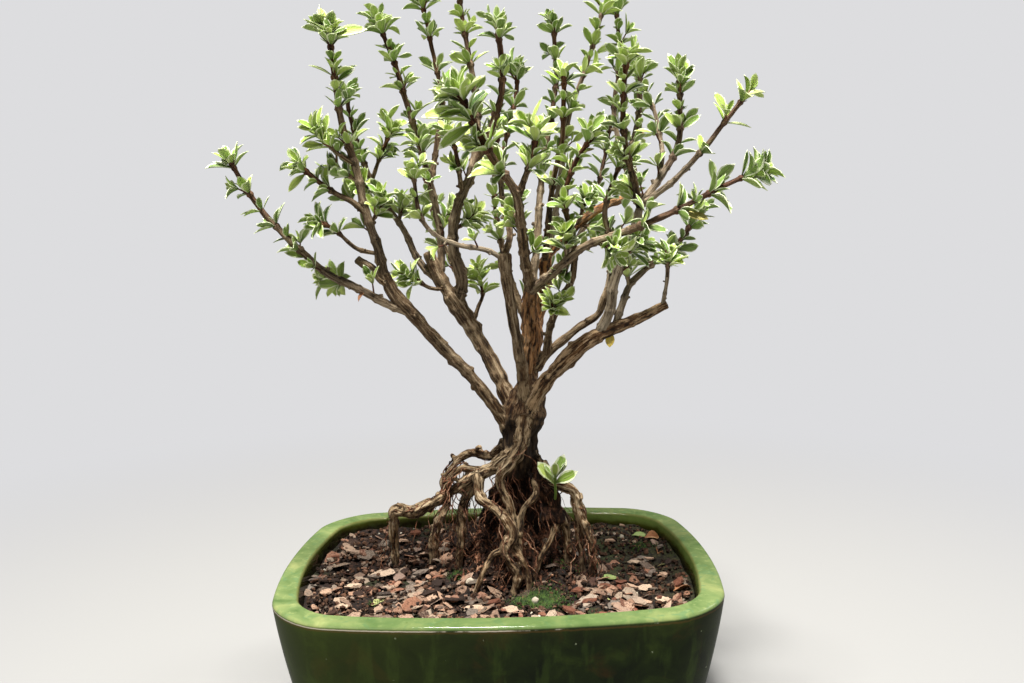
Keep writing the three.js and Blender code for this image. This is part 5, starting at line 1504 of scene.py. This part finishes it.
# %% Growing rootlets
HANGING, FELTED, CURTAIN, CLINGING = 130, 640, 60, 150
HANGING_FROM = ("left_arch", "left_back", "left_foot", "left_loop", "front_twist", "front_centre",
                "right_arch", "right_foot", "back_left", "back_right", "inner_front")
ROOTLET_CORNERS, FALL_STEP, LONGEST_FALL = 4, 1.7, 26
HANGING_THICK, CURTAIN_THICK, CLINGING_THICK = (0.14, 0.36), (0.2, 0.5), (0.16, 0.4)
HANGING_STIFFNESS, CURTAIN_STIFFNESS = 1.1, 0.8
FELT_STEP, FELT_REACH, FELT_LIFT, FELT_STEPS = 1.5, 1.35, 2.2, (6, 15)
CLING_STEP, CLING_STEPS = 1.4, (6, 14)


def falling_rootlet(start, draws, stiffness, thick):
    """A rootlet that falls to the soil."""
    heading = Vector((draws.gauss(0, 0.7), draws.gauss(0, 0.7), -0.5))
    run, spot = [(start, thick)], start.copy()
    for step in range(LONGEST_FALL):
        heading = heading * stiffness + Vector((draws.gauss(0, 0.5), draws.gauss(0, 0.5), -0.3))
        heading.normalize()
        spot = spot + heading * FALL_STEP
        run.append((spot, thick * (1 - step / 40)))
        if spot.z < soil_height(spot.x, spot.y) - 0.4:
            break
    return run


def felted_rootlet(draws):
    """A rootlet that creeps down over the mound."""
    angle = any_turn(draws)
    x, y = on_mound(angle, draws.uniform(0, FELT_REACH))
    turn = angle + draws.gauss(0, 1.3)
    lift, thick, run = draws.uniform(0, FELT_LIFT), 0.14 + 0.75 * draws.random() ** 3, []
    for step in range(draws.randint(*FELT_STEPS)):
        bump = lift * math.sin(step * 0.9) + draws.uniform(-0.3, 0.3)
        run.append((Vector((x, y, soil_height(x, y) + 0.5 + bump)), thick))
        turn += draws.gauss(0, 0.6)
        x, y = x + FELT_STEP * math.cos(turn), y + FELT_STEP * math.sin(turn)
    return run


def clinging_rootlet(draws):
    """A rootlet that creeps along a big root."""
    limb = limbs[draws.choice(HANGING_FROM)]
    share, turn = draws.uniform(0.05, 0.85), any_turn(draws)
    thick, run = draws.uniform(*CLINGING_THICK), []
    for _ in range(draws.randint(*CLING_STEPS)):
        turn += draws.gauss(0, 0.35)
        share = min(share + CLING_STEP / limb.length, 1)
        away = float(limb.radius(share)) * draws.uniform(1.0, 1.25)
        run.append((limb.place(share) + sideways(limb.heading(share), turn) * away, thick))
    return run


def rootlets():
    draws = random.Random(31)
    runs = [felted_rootlet(draws) for _ in range(FELTED)]
    runs += [clinging_rootlet(draws) for _ in range(CLINGING)]
    for _ in range(HANGING):
        limb, share = limbs[draws.choice(HANGING_FROM)], draws.uniform(0.1, 0.8)
        start = limb.place(share) - Vector((0, 0, float(limb.radius(share)) * 0.6))
        runs.append(falling_rootlet(start, draws, HANGING_STIFFNESS, draws.uniform(*HANGING_THICK)))
    for _ in range(CURTAIN):
        angle, away = any_turn(draws), draws.uniform(0.15, 0.75)
        x, y = on_mound(angle, away)
        start = Vector((x, y, soil_height(x, y) + draws.uniform(3, 14) * (1 - away * 0.6)))
        runs.append(falling_rootlet(start, draws, CURTAIN_STIFFNESS, draws.uniform(*CURTAIN_THICK)))
    return tubes("rootlets", runs, ROOTLET_CORNERS)


def rootlet_finish():
    finish = Finish("rootlet")
    at = finish.where()
    patch = finish.noise(at, per(7), detail=4, roughness=0.7)
    fine = finish.noise(at, per(0.9), detail=4)
    colour = finish.ramp(patch + (fine - 0.5) * 0.3, (0.32, 0x120a06), (0.46, 0x3c2417), (0.56, 0x7e5038),
                         (0.7, 0xc29c7c))
    return finish.dress(colour, 0.85, fine, 0.0002, Specular_IOR_Level=0.3)


keep("rootlets", rootlets(), [rootlet_finish()], crease=180)

# %% [markdown]
# ## Leaves
# A serissa leaf is about a centimetre long, oval, and narrows to a short stalk. It is folded a
# little along its midrib, droops toward its tip, and has a cream margin. It is shaped once from a
# grid: the grid's long way becomes the leaf's length, its sides are drawn in to the outline, and it
# is given a thickness. Each vertex keeps its place on the leaf as a mark, which the finish reads.

# %% Leaf shapes
LEAF_DROOP, LEAF_THICKNESS, STALK_MERGE = 0.16, 0.02, 0.006
STALK_SHARE, STALK_WIDTH, WIDEST = 0.07, 0.12, 1.2
LEAF_MARKS = ("blade", "mood", "grain", "bark")


def leaf_outline(share):
    """Half the leaf's width at a share of its length, where its widest is 1."""
    inside = max(share - STALK_SHARE, 0) / (1 - STALK_SHARE)
    return max(math.sin(math.pi * inside ** WIDEST) ** 0.8, STALK_WIDTH * (1 - share))


def leaf_shape(name, columns, rows, width, fold, curl, twist):
    """A leaf of length 1 along x; its marks say where on the blade each vertex lies."""
    bm = marked(*LEAF_MARKS)
    bmesh.ops.create_grid(bm, x_segments=columns, y_segments=rows, size=0.5)
    blade = bm.verts.layers.float_vector["blade"]
    for vert in bm.verts:
        share, side = vert.co.x + 0.5, vert.co.y * 2
        vert[blade] = (share, side, 0)
        half = width / 2 * leaf_outline(share)
        height = -LEAF_DROOP * share ** 2 + fold * abs(side) * half - curl * share ** 3
        vert.co = (share, side * half, height + twist * share * side * half)
    bmesh.ops.remove_doubles(bm, verts=bm.verts, dist=STALK_MERGE)
    above = len(bm.verts)
    bmesh.ops.solidify(bm, geom=bm.faces[:], thickness=LEAF_THICKNESS)
    bm.verts.ensure_lookup_table()
    for vert in bm.verts[above:]:
        share, side, _ = vert[blade]
        vert[blade] = (share, side, 1)
    bmesh.ops.recalc_face_normals(bm, faces=bm.faces)
    return mesh_of(name, bm)


LEAF_VARIANTS = (  # width, fold, curl, twist
    (0.43, 0.3, 0, 0), (0.48, 0.5, 0.05, 0.15), (0.39, 0.2, -0.1, -0.2), (0.46, 0.7, 0.1, 0.1))
LEAFLET_VARIANTS = ((0.47, 0.6, -0.2, 0), (0.4, 0.4, -0.05, 0.1), (0.52, 0.3, -0.14, -0.1))
leaf_shapes = [leaf_shape("leaf", 5, 4, *variant) for variant in LEAF_VARIANTS]
leaflet_shapes = [leaf_shape("leaflet", 5, 2, *variant) for variant in LEAFLET_VARIANTS]
long_leaf = leaf_shape("long_leaf", 7, 4, 0.33, 0.35, 0.1, 0.1)
print("a leaf has", len(leaf_shapes[0].polygons), "faces, a leaflet", len(leaflet_shapes[0].polygons))

# %% [markdown]
# ## Reading the blades from the solids
# The solids already say where each leaf grows. A blade's tip is the only kind of corner where just
# three edges meet. Its three neighbours are the left and right edge and the keel, and from those
# four points follow the blade's directions, its length and its root on the stem.

# %% The frames of a CAD sprig's blades
TIP_FROM_SECTION = 0.28
LEAF_LENGTHS = (5, 20)
SAME_CORNER = 1e-6  # metres


def blades(node):
    """Each blade as (root, along, face, length)."""
    bm = bmesh.new()
    bm.from_mesh(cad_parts[node].data)
    bmesh.ops.remove_doubles(bm, verts=bm.verts, dist=SAME_CORNER)
    bmesh.ops.transform(bm, matrix=TO_BENCH, verts=bm.verts)
    found = []
    for tip in bm.verts:
        around = [edge.other_vert(tip).co for edge in tip.link_edges]
        if len(around) != 3:
            continue
        orders = [around, around[1:] + around[:1], around[2:] + around[:2]]
        left, right, keel = max(orders, key=lambda order: (order[0] - order[1]).length)
        middle = (left + right) / 2
        across, face = (left - right).normalized(), (middle - keel).normalized()
        along = across.cross(face)
        if along.dot(tip.co - middle) < 0:
            along = -along
        length = along.dot(tip.co - middle) / TIP_FROM_SECTION
        if LEAF_LENGTHS[0] < length < LEAF_LENGTHS[1]:
            root = tip.co - along * length + face * LEAF_DROOP * length
            found.append((root, along, face, length))
    bm.free()
    return found


# %% [markdown]
# ## Leafy stems
# Each leafy shoot and spur is one piece that stands for one solid. Its stem follows the same limb.
# At each node a pair of full leaves takes the place of the solid's blades, and in their axils sits
# what makes serissa look so dense: a rosette of smaller, more upright leaves, with a few brown
# scales left of old stipules. Many nodes also carry a short side twig with a rosette of its own,
# and halfway between two nodes sits a smaller pair. Young leaves are lime green, older ones darker.

# %% What grows at a node
ROSETTE_LEAVES, SPARSE_LEAVES = (4, 6), (1, 3)
ROSETTE_SIZE, ROSETTE_LEAN, ROSETTE_TURN = (0.5, 0.95), (0.1, 0.8), (1.7, 2.7)
SIZE_SPREAD, LEAN_SPREAD, MOOD_SPREAD, OFF_STEM = (0.8, 1.2), 0.2, 0.2, 0.35
TWIG_LENGTH, TWIG_RADIUS, TWIG_LEAVES, TWIG_CHANCE = (2.5, 6), 0.5, (4, 6), 0.6
TWIG_SLANT, TWIG_RISE = 0.7, Vector((0, 0, 0.45))
HALF_NODE_CHANCE, OLD_NODE_CHANCE, OLD_NODE_SPACING = 0.7, 0.45, 13
HALF_PAIR_LEAN, HALF_PAIR_SIZE, HALF_LEAVES = (0.5, 1.1), (0.65, 0.9), (2, 3)
LEAF_FROM, LEAF_ROLL, LEAF_SWING = 7.5, 0.3, 0.22
SCALES, SCALE_SPREAD, SCALE_THICK, SCALE_TALL, SCALE_YOUTH = 8, (0.4, 1.2), 1.1, (1.5, 3.0), (0.5, 1)
NODE_REACH = 1.6


def cone_shape(name, sides, foot, top, marks=LEAF_MARKS):
    """An upright cone of height 1 on the origin."""
    bm = marked(*marks)
    bmesh.ops.create_cone(bm, cap_ends=True, segments=sides, radius1=foot, radius2=top, depth=1)
    bmesh.ops.translate(bm, vec=(0, 0, 0.5), verts=bm.verts)
    return mesh_of(name, bm)


stipule, side_twig = cone_shape("stipule", 4, 0.45, 0.06), cone_shape("side_twig", 6, 1.0, 0.7)


def square_to(along, toward):
    """The direction square to along that comes nearest to another."""
    return (toward - along * along.dot(toward)).normalized()


def swayed(along, face, draws):
    """The directions of a leaf, rolled about its midrib and swung a little, as no leaf grows square."""
    roll = Matrix.Rotation(draws.gauss(0, LEAF_ROLL), 3, along)
    swing = Matrix.Rotation(draws.gauss(0, LEAF_SWING), 3, face)
    return swing @ along, roll @ face


def facing(root, along, face, size):
    """The matrix that carries a unit leaf onto its frame."""
    axes = Matrix((along * size, face.cross(along) * size, face * size))
    return Matrix.Translation(root) @ axes.transposed().to_4x4()


def turned_to(heading):
    """The rotation that turns the upright axis to a heading."""
    return heading.to_track_quat("Z", "Y").to_matrix().to_4x4()


def upright(root, heading, thick, tall):
    """The matrix that carries a unit cone onto a heading."""
    return Matrix.Translation(root) @ turned_to(heading) @ Matrix.Diagonal((thick, thick, tall, 1))


class Growth:
    """One leafy piece in the making."""

    def __init__(self, age, cream, draws, fullness):
        self.bm = marked(*LEAF_MARKS)
        self.age, self.cream, self.draws, self.fullness = age, cream, draws, fullness

    def leaf(self, root, along, face, size, age, shape=None):
        draws = self.draws
        shape = shape or draws.choice(leaf_shapes if size > LEAF_FROM else leaflet_shapes)
        aged = min(max(age + draws.gauss(0, MOOD_SPREAD), 0), 1)
        mood = (aged, draws.random(), draws.uniform(*self.cream))
        stamp(self.bm, shape, facing(root, along, face, size), material=1, mood=mood)

    def wood(self, shape, root, heading, thick, tall, youth=1.0):
        grain = (self.draws.random(), self.draws.random(), self.draws.random() * 50)
        stamp(self.bm, shape, upright(root, heading, thick, tall), bark=(thick, youth, 0), grain=grain)

    def rosette(self, root, heading, length, count):
        """Leaves round a heading, the later ones smaller and more upright."""
        draws, turn = self.draws, any_turn(self.draws)
        (upright_lean, lying_lean), (smallest, largest) = ROSETTE_LEAN, ROSETTE_SIZE
        number = draws.randint(*count)
        for index in range(number):
            turn += draws.uniform(*ROSETTE_TURN)
            inner = index / number
            lean = lying_lean + (upright_lean - lying_lean) * inner + draws.gauss(0, LEAN_SPREAD)
            out = sideways(heading, turn)
            along = (heading * math.cos(lean) + out * math.sin(lean)).normalized()
            size = length * (largest + (smallest - largest) * inner) * draws.uniform(*SIZE_SPREAD)
            self.leaf(root + out * OFF_STEM, along, square_to(along, heading), size, self.age + 0.4 * inner)

    def node(self, limb, share, length):
        """A rosette in the axils, dry scales, and often a short side twig with its own rosette."""
        draws, root, heading = self.draws, limb.place(share), limb.heading(share)
        self.rosette(root, heading, length, ROSETTE_LEAVES if self.fullness > 0.5 else SPARSE_LEAVES)
        for _ in range(SCALES):
            spire = heading + sideways(heading, any_turn(draws)) * draws.uniform(*SCALE_SPREAD)
            tall, youth = draws.uniform(*SCALE_TALL), draws.uniform(*SCALE_YOUTH)
            self.wood(stipule, root, spire.normalized(), SCALE_THICK, tall, youth)
        if draws.random() < TWIG_CHANCE * self.fullness:
            self.twig(limb, share, length)

    def twig(self, limb, share, length):
        """A short side twig that ends in a rosette."""
        draws, heading = self.draws, limb.heading(share)
        out = sideways(heading, any_turn(draws))
        rise = (heading * TWIG_SLANT + out + TWIG_RISE).normalized()
        tall = float(limb.radius(share)) + draws.uniform(*TWIG_LENGTH)
        root = limb.place(share)
        self.wood(side_twig, root, rise, TWIG_RADIUS, tall)
        self.rosette(root + rise * (tall - 0.3), rise, length * 0.9, TWIG_LEAVES)

    def half_node(self, limb, share, length):
        """A smaller pair between two nodes."""
        draws, root, heading = self.draws, limb.place(share), limb.heading(share)
        turn = draws.uniform(0, math.pi)
        for side in (0, math.pi):
            out = sideways(heading, turn + side)
            along = (heading * draws.uniform(*HALF_PAIR_LEAN) + out).normalized()
            size = length * draws.uniform(*HALF_PAIR_SIZE)
            self.leaf(root, along, square_to(along, heading), size, self.age)
        self.rosette(root, heading, length * 0.8, HALF_LEAVES)


# %% [markdown]
# The solids' blades give the nodes. A node's share of its limb comes from the nearest point of the
# limb's path. Old nodes lower down, where the twig is already bare, sprout only now and then.

# %% Growing one leafy piece
LEAF_CREAM = (0.35, 0.95)
SPROUT_FACE, SPROUT_SIZE = Vector((0.1, -0.9, 0.45)), 1.3
SPROUT_DROP = Vector((-1, -1.5, -5.5))
LONG_LEAF_FACE = Vector((0, -1, 0.45))
GREEN_STEM = 2.0
STEM_STEP, STEM_KNUCKLE, STEM_CORNERS = 0.9, 0.55, 8
OLD_NODES_FROM, OLD_NODES_CLEAR = 6, 5
SPROUT_LEAVES, SPROUT_LEAVES_AT = (3, 3), 0.97
LONG_LEAVES = {  # share, heading, length
    "shoot_left_tall": ((0.98, (1, -0.2, 0.3), 17), (0.99, (-0.35, 0, 1), 14),
                        (0.97, (0.25, 0.2, 1), 12), (0.8, (1, -0.1, 0.9), 11)),
    "shoot_front_diagonal": ((0.93, (-1, -0.25, 0.0), 19), (0.88, (-0.9, -0.3, -0.5), 18)),
    "shoot_top_right": ((0.8, (-1, -0.3, -0.3), 14),),
    "shoot_right_rise": ((0.97, (-0.35, -0.1, 1), 15), (0.96, (0.3, -0.1, 1), 13),
                         (0.8, (0.7, -0.3, 0.6), 12), (0.8, (-0.5, -0.3, 0.6), 12)),
    "shoot_left_side": ((0.9, (-0.6, -0.2, -0.5), 12),),
    "shoot_middle_tall": ((0.6, (-0.7, -0.3, 0.6), 12),),
    "shoot_left_outer": ((0.8, (0.2, -0.2, 1), 11),),
    "shoot_left_low": ((0.5, (-0.8, -0.3, 0.3), 11),)}


def share_of(limb, root):
    """The share of a limb that lies nearest to a place."""
    away = np.linalg.norm(limb.path - np.array(root), axis=1)
    return float(limb.run[away.argmin()] / limb.length)


def nodes_on(limb, found):
    """The shares of the limb at which its blades sit, each once."""
    shares = []
    for share in sorted(share_of(limb, root) for root, *_ in found):
        if not shares or (share - shares[-1]) * limb.length > NODE_REACH:
            shares.append(share)
    return shares


def leafy(name, node, limb, first, age, draws, cream=LEAF_CREAM, fullness=1.0):
    """One leafy piece from a share of its limb to the tip; the fullness of the root's sprout is 0."""
    found = blades(node)
    nodes = nodes_on(limb, found)
    run = rough_run(limb, first, 1, STEM_STEP, TWIG_WANDER, TWIG_LUMP, nodes, STEM_KNUCKLE)
    stem = tubes("stem", [run], STEM_CORNERS)
    youth = (youth_at(first), 1.0) if fullness else (GREEN_STEM, GREEN_STEM)
    mark_wood(stem, [(limb, first, 1, youth, PALE_LIMBS.get(node[len("shoot_"):], 0) * 0.5)])
    growth = Growth(age, cream, draws, fullness)
    growth.bm.from_mesh(stem)
    for root, along, face, length in found:
        if fullness:
            along, face = swayed(along, face, draws)
        else:
            face, length = square_to(along, SPROUT_FACE), length * SPROUT_SIZE
            root += SPROUT_DROP
        growth.leaf(root, along, face, length, age + 0.3 * (share_of(limb, root) - 0.6))
    length = sum(size for *_, size in found) / len(found)
    for share, heading, long in LONG_LEAVES.get(node, ()):
        along = Vector(heading).normalized()
        growth.leaf(limb.place(share), along, square_to(along, LONG_LEAF_FACE), long, 0.6, long_leaf)
    if fullness:
        for share in nodes:
            growth.node(limb, share, length)
        for before, after in zip(nodes, nodes[1:]):
            if draws.random() < HALF_NODE_CHANCE * fullness:
                growth.half_node(limb, (before + after) / 2, length)
        lowest = max(first * 0.35, OLD_NODES_FROM / limb.length)
        highest = min(nodes) - OLD_NODES_CLEAR / limb.length
        for share in np.arange(lowest, highest, OLD_NODE_SPACING / limb.length).tolist():
            if draws.random() < OLD_NODE_CHANCE * fullness:
                growth.twig(limb, share, length)
    else:
        at = SPROUT_LEAVES_AT
        growth.rosette(limb.place(at), limb.heading(at), length * 1.1, SPROUT_LEAVES)
    keep(name, mesh_of(name, growth.bm), [bark, leaf_green], [node], crease=70)
    return len(found)


# %% [markdown]
# A variegated leaf has a green heart, a cream margin of uneven width, a pale midrib and fine side
# veins that lean toward the tip. Its underside is paler and greyer. Painted shade darkens each leaf
# near its stalk, where the leaves of a rosette crowd together.

# %% The leaf's finish
VEINS, VEIN_SLANT = 7, 2.4
YOUNG, MATURE = (0x8cac32, 0xcede74), (0x20400c, 0x84a845)


def leaf_finish():
    finish = Finish("variegated_leaf")
    share, side, under = finish.parts("blade")
    age, light, cream = finish.parts("mood")
    at = finish.where()
    ripple = finish.noise(at, per(1.8), detail=4)
    from_rib = finish.math("ABSOLUTE", side)
    young = finish.mix(light, paint(YOUNG[0]), paint(YOUNG[1]))
    mature = finish.mix(light, paint(MATURE[0]), paint(MATURE[1]))
    colour = finish.mix(finish.between(age, 0.25, 0.85), mature, young)
    colour = finish.wash(colour, finish.between(ripple, 0.4, 0.7) * 0.25, 0x84a04a)
    wave = finish.math("SINE", (share * VEINS - from_rib * VEIN_SLANT) * (2 * math.pi))
    vein = finish.between(wave, 0.8, 1.0)
    rib = 1 - finish.between(from_rib, 0.03, 0.11)
    colour = finish.wash(colour, vein * 0.16, 0xa5b878)
    colour = finish.wash(colour, rib * 0.5, 0xabbb74)
    from_tip = (1 - share) * 2.6
    to_margin = finish.math("MINIMUM", 1 - from_rib, from_tip) + (ripple - 0.5) * 0.35
    width = 0.14 + cream * 0.32
    margin = 1 - finish.between(to_margin, width * 0.55, width)
    pale = finish.mix(age, paint(0xfafae6), paint(0xecf2bc))
    colour = finish.mix(margin * 0.9, colour, pale)
    colour = finish.wash(colour, under * 0.4, 0x93a962)
    # Painted shade near the stalk, where the leaves of a rosette crowd together.
    painted_shade_near_stalk = 1 - finish.between(share, 0.1, 0.5)
    colour = finish.wash(colour, painted_shade_near_stalk * 0.5, 0x1a3004)
    stalk = 1 - finish.between(share, 0.06, 0.16)
    colour = finish.wash(colour, stalk * 0.5, 0x7c8c4a)
    relief = vein * 0.35 + rib * 0.8 + ripple * 0.3
    return finish.dress(colour, 0.42 + ripple * 0.18, relief, 0.00025, Specular_IOR_Level=0.28)


leaf_green = leaf_finish()

# %% All the leafy pieces
SPROUT_CREAM = (0.7, 1.0)
SPARSE = {"right_outer": 0.25, "right_grey": 0.6, "right_stub_twig": 0.5, "right_mid": 0.7,
          "root_sprout": 0}
SPROUT_AGE, SHOOT_AGES, SPUR_AGES = 0.45, (0.15, 0.75), (0.3, 0.7)
chance = random.Random(2024)
leaves = 0
for name, (_, _, bare, *_) in SHOOTS.items():
    sprout = name == "root_sprout"
    cream = SPROUT_CREAM if sprout else LEAF_CREAM
    age = SPROUT_AGE if sprout else chance.uniform(*SHOOT_AGES)
    first = 0 if sprout else bare
    leaves += leafy("leafy_" + name, "shoot_" + name, limbs[name], first, age, chance, cream,
                    SPARSE.get(name, 1))
for name in SPURS:
    leaves += leafy("leafy_" + name, name, limbs[name], 0.0, chance.uniform(*SPUR_AGES), chance)
leafy_sizes = [count for name, count in made.items() if name.startswith("leafy_")]
print(len(leafy_sizes), "leafy pieces with", leaves, "leaves that the solids hold and many smaller ones,",
      sum(leafy_sizes), "triangles")

# %% [markdown]
# ## Moss and fallen leaves
# Moss grows in front of the mound and in a few small cushions. A tuft of moss is hundreds of tiny
# spires, so each is a slim cone of four sides. Some serissa leaves have dropped on the soil and
# faded, and two old ones have curled up brown. All are placed by where the photograph shows them.

# %% Moss
MOSS_LEAN, MOSS_SPREAD, MOSS_THICK, MOSS_TALL = 0.45, 2.2, 0.8, (1.0, 2.8)


def moss_mesh():
    draws = random.Random(61)
    spire = cone_shape("spire", 4, 0.42, 0.05, marks=())
    bm = marked("tint")
    for middle, (_, _, long, wide, count) in zip(moss_middles, MOSS):
        for _ in range(count):
            x = middle.x + draws.gauss(0, long / MOSS_SPREAD)
            y = middle.y + draws.gauss(0, wide / MOSS_SPREAD)
            spot = Vector((x, y, soil_height(x, y) - 0.2))
            lean = any_lean(draws, MOSS_LEAN)
            scale = Matrix.Diagonal((MOSS_THICK, MOSS_THICK, draws.uniform(*MOSS_TALL), 1))
            tint = (draws.random(), draws.random(), 0)
            stamp(bm, spire, Matrix.Translation(spot) @ lean @ scale, tint=tint)
    return mesh_of("moss", bm)


def moss_finish():
    finish = Finish("moss_green")
    deep, light, _ = finish.parts("tint")
    fine = finish.noise(finish.where(), per(1.5), detail=4)
    colour = finish.ramp(deep, (0, 0x14240a), (0.5, 0x2a4314), (1, 0x4e6a22))
    colour = finish.wash(colour, finish.between(fine, 0.45, 0.7) * light * 0.4, 0x7b8c38)
    return finish.dress(colour, 0.8, fine, 0.0002)


keep("moss", moss_mesh(), [moss_finish()], crease=180)

# %% Fallen and withered leaves
HEART_GREEN, PALE, PALE_YELLOW = (0.0, 0.4, 0), (0.35, 0.5, 0), (0.45, 0.5, 0)
YELLOW, BROWN = (0.6, 0.7, 0), (0.9, 0.5, 0)
FALLEN = (  # across, up, length, turn in degrees, lift, tint
    (44, -120, 10, 30, 1.2, HEART_GREEN), (51, -131.5, 7, 100, 0.6, PALE), (77.5, -112, 6, 200, 1, PALE),
    (60, -98, 9, 15, 1.4, HEART_GREEN), (66, -99, 11, 20, 1.0, BROWN), (81, -126, 12, 40, 1.2, BROWN),
    (-70, -133, 11, 60, 1, PALE), (-58, -128, 6, 150, 0.8, PALE), (73, -107, 8, 70, 1, BROWN))
WITHERED = (  # limb, share, heading, length, tint
    ("right_bough", 0.7, (-0.1, -0.3, -1), 9, YELLOW),
    ("fork_rise", 0.93, (0.7, -0.5, 0.2), 7, PALE_YELLOW),
    ("left_low", 0.22, (-0.4, -0.6, -0.4), 6, BROWN),
    ("right_long", 0.72, (1, -0.4, -0.25), 14, PALE_YELLOW),
    ("left_side", 0.85, (-0.6, -0.4, 0.5), 6, BROWN),
    ("right_back", 0.4, (0.4, -0.8, 0.1), 7, BROWN))
WITHERED_FACE = Vector((0, -0.4, 1))
FALLEN_LEAN, HEART_BREADTH, FALLEN_BREADTH = 0.15, 1.5, 1.1


def dropped_leaves():
    draws = random.Random(71)
    flat = leaf_shape("fallen", 7, 4, 0.5, 0.15, -0.1, 0.25)
    rolled = leaf_shape("rolled", 7, 4, 0.45, 0.9, 0.1, 0.7)
    bm = marked(*LEAF_MARKS, "tint")
    for across, up, length, turn, lift, tint in FALLEN:
        spot = seen_on_soil(across, up) + Vector((0, 0, lift))
        shape = rolled if tint is BROWN else flat
        lean = Matrix.Rotation(draws.gauss(0, FALLEN_LEAN), 4, "X")
        spin = Matrix.Rotation(math.radians(turn), 4, "Z") @ lean
        broad = length * (HEART_BREADTH if tint is HEART_GREEN else FALLEN_BREADTH)
        scale = Matrix.Diagonal((length, broad, length, 1))
        stamp(bm, shape, Matrix.Translation(spot) @ spin @ scale, tint=tint)
    for name, share, heading, length, tint in WITHERED:
        along = Vector(heading).normalized()
        hung = facing(limbs[name].place(share), along, square_to(along, WITHERED_FACE), length)
        stamp(bm, rolled if tint is BROWN else flat, hung, tint=tint)
    return mesh_of("fallen_leaves", bm)


def withered_finish():
    finish = Finish("withered_leaf")
    kind, light, _ = finish.parts("tint")
    share, side, _ = finish.parts("blade")
    spots = finish.noise(finish.where(), per(2.2), detail=6, roughness=0.65)
    colour = finish.ramp(kind, (0, 0x76884c), (0.35, 0x9a9a62), (0.6, 0xb8a040), (0.9, 0x93613c))
    colour = finish.wash(colour, finish.between(spots, 0.5, 0.68) * 0.55, 0x5a3822)
    rib = 1 - finish.between(finish.math("ABSOLUTE", side), 0.04, 0.12)
    colour = finish.wash(colour, rib * 0.4, 0xc8b98c)
    return finish.dress(colour, 0.6 + spots * 0.2, spots + rib * 0.5, 0.0003)


keep("fallen_leaves", dropped_leaves(), [withered_finish()], crease=70)

# %% [markdown]
# ## Floor and light
# The object stands on a plain pale floor under soft studio light. A broad lamp overhead and a
# little in front lights the rim, the soil and the leaves, and two weak ones at the front left and
# the right give the shadows some shape. Far from the pot the floor turns to the colour of the
# background, so that no horizon cuts through the picture.

# %% The floor
FLOOR_REACH, FADE_FROM, FADE_TO = 8, 0.14, 0.75  # metres
BACKGROUND, PAPER = 0xdddddf, 0x92918f


def floor():
    bm = bmesh.new()
    bmesh.ops.create_circle(bm, cap_ends=True, segments=64, radius=FLOOR_REACH)
    mesh = mesh_of("floor", bm)
    finish = Finish("floor")
    at = finish.where()
    away = finish.node("VectorMath", {"operation": "LENGTH"}, {0: at}, output=1)
    paper = finish.noise(at, 600, detail=3)
    look = {"Base Color": paint(PAPER), "Roughness": 0.8 + paper * 0.1}
    matt = finish.node("BsdfPrincipled", values=look)
    glow = finish.node("Emission", values={"Color": paint(BACKGROUND), "Strength": 1.0})
    seen = finish.node("LightPath")
    faded = finish.between(away, FADE_FROM, FADE_TO) * seen
    mixed = finish.node("MixShader", values={0: faded, 1: matt, 2: glow})
    finish.node("OutputMaterial", values={"Surface": mixed})
    mesh.materials.append(finish.material)
    ground = bpy.data.objects.new("floor", mesh)
    scene.collection.objects.link(ground)


floor()

# %% Lamps and background
LAMPS = (  # name, place in metres, size, power in watts, colour
    ("overhead", (-0.12, -0.42, 2.0), 0.5, 116, (1, 0.985, 0.95)),
    ("front_left", (-0.6, -0.9, 1.0), 0.5, 2, (0.98, 0.99, 1)),
    ("right_rim", (0.8, 0.3, 0.7), 0.4, 3, (1, 0.99, 0.97)))
AIM = Vector((0, 0, 0.17))
ROOM_LIGHT = 0.16

for name, spot, size, power, colour in LAMPS:
    lamp = bpy.data.lights.new(name, "AREA")
    lamp.shape, lamp.size, lamp.energy, lamp.color = "DISK", size, power, colour
    holder = bpy.data.objects.new(name, lamp)
    scene.collection.objects.link(holder)
    holder.matrix_world = Matrix.Translation(spot) @ turned_to(Vector(spot) - AIM)

world = bpy.data.worlds.new("studio")
world.use_nodes = True
scene.world = world
room = world.node_tree.nodes
room.clear()
seen, lit = room.new("ShaderNodeBackground"), room.new("ShaderNodeBackground")
seen.inputs["Color"].default_value = paint(BACKGROUND)
lit.inputs["Color"].default_value = paint(0xe9edf2)
lit.inputs["Strength"].default_value = ROOM_LIGHT
choose, path, out = (room.new("ShaderNode" + kind) for kind in ("MixShader", "LightPath", "OutputWorld"))
join = world.node_tree.links.new
join(path.outputs["Is Camera Ray"], choose.inputs[0])
join(lit.outputs[0], choose.inputs[1])
join(seen.outputs[0], choose.inputs[2])
join(choose.outputs[0], out.inputs[0])

# %% [markdown]
# ## Sizes, and the end
# The last line prints how many new pieces there are, their triangles in all and the largest count.

# %% Size and finish
print(len(made), "new pieces,", sum(made.values()), "triangles, the largest", max(made.values()))
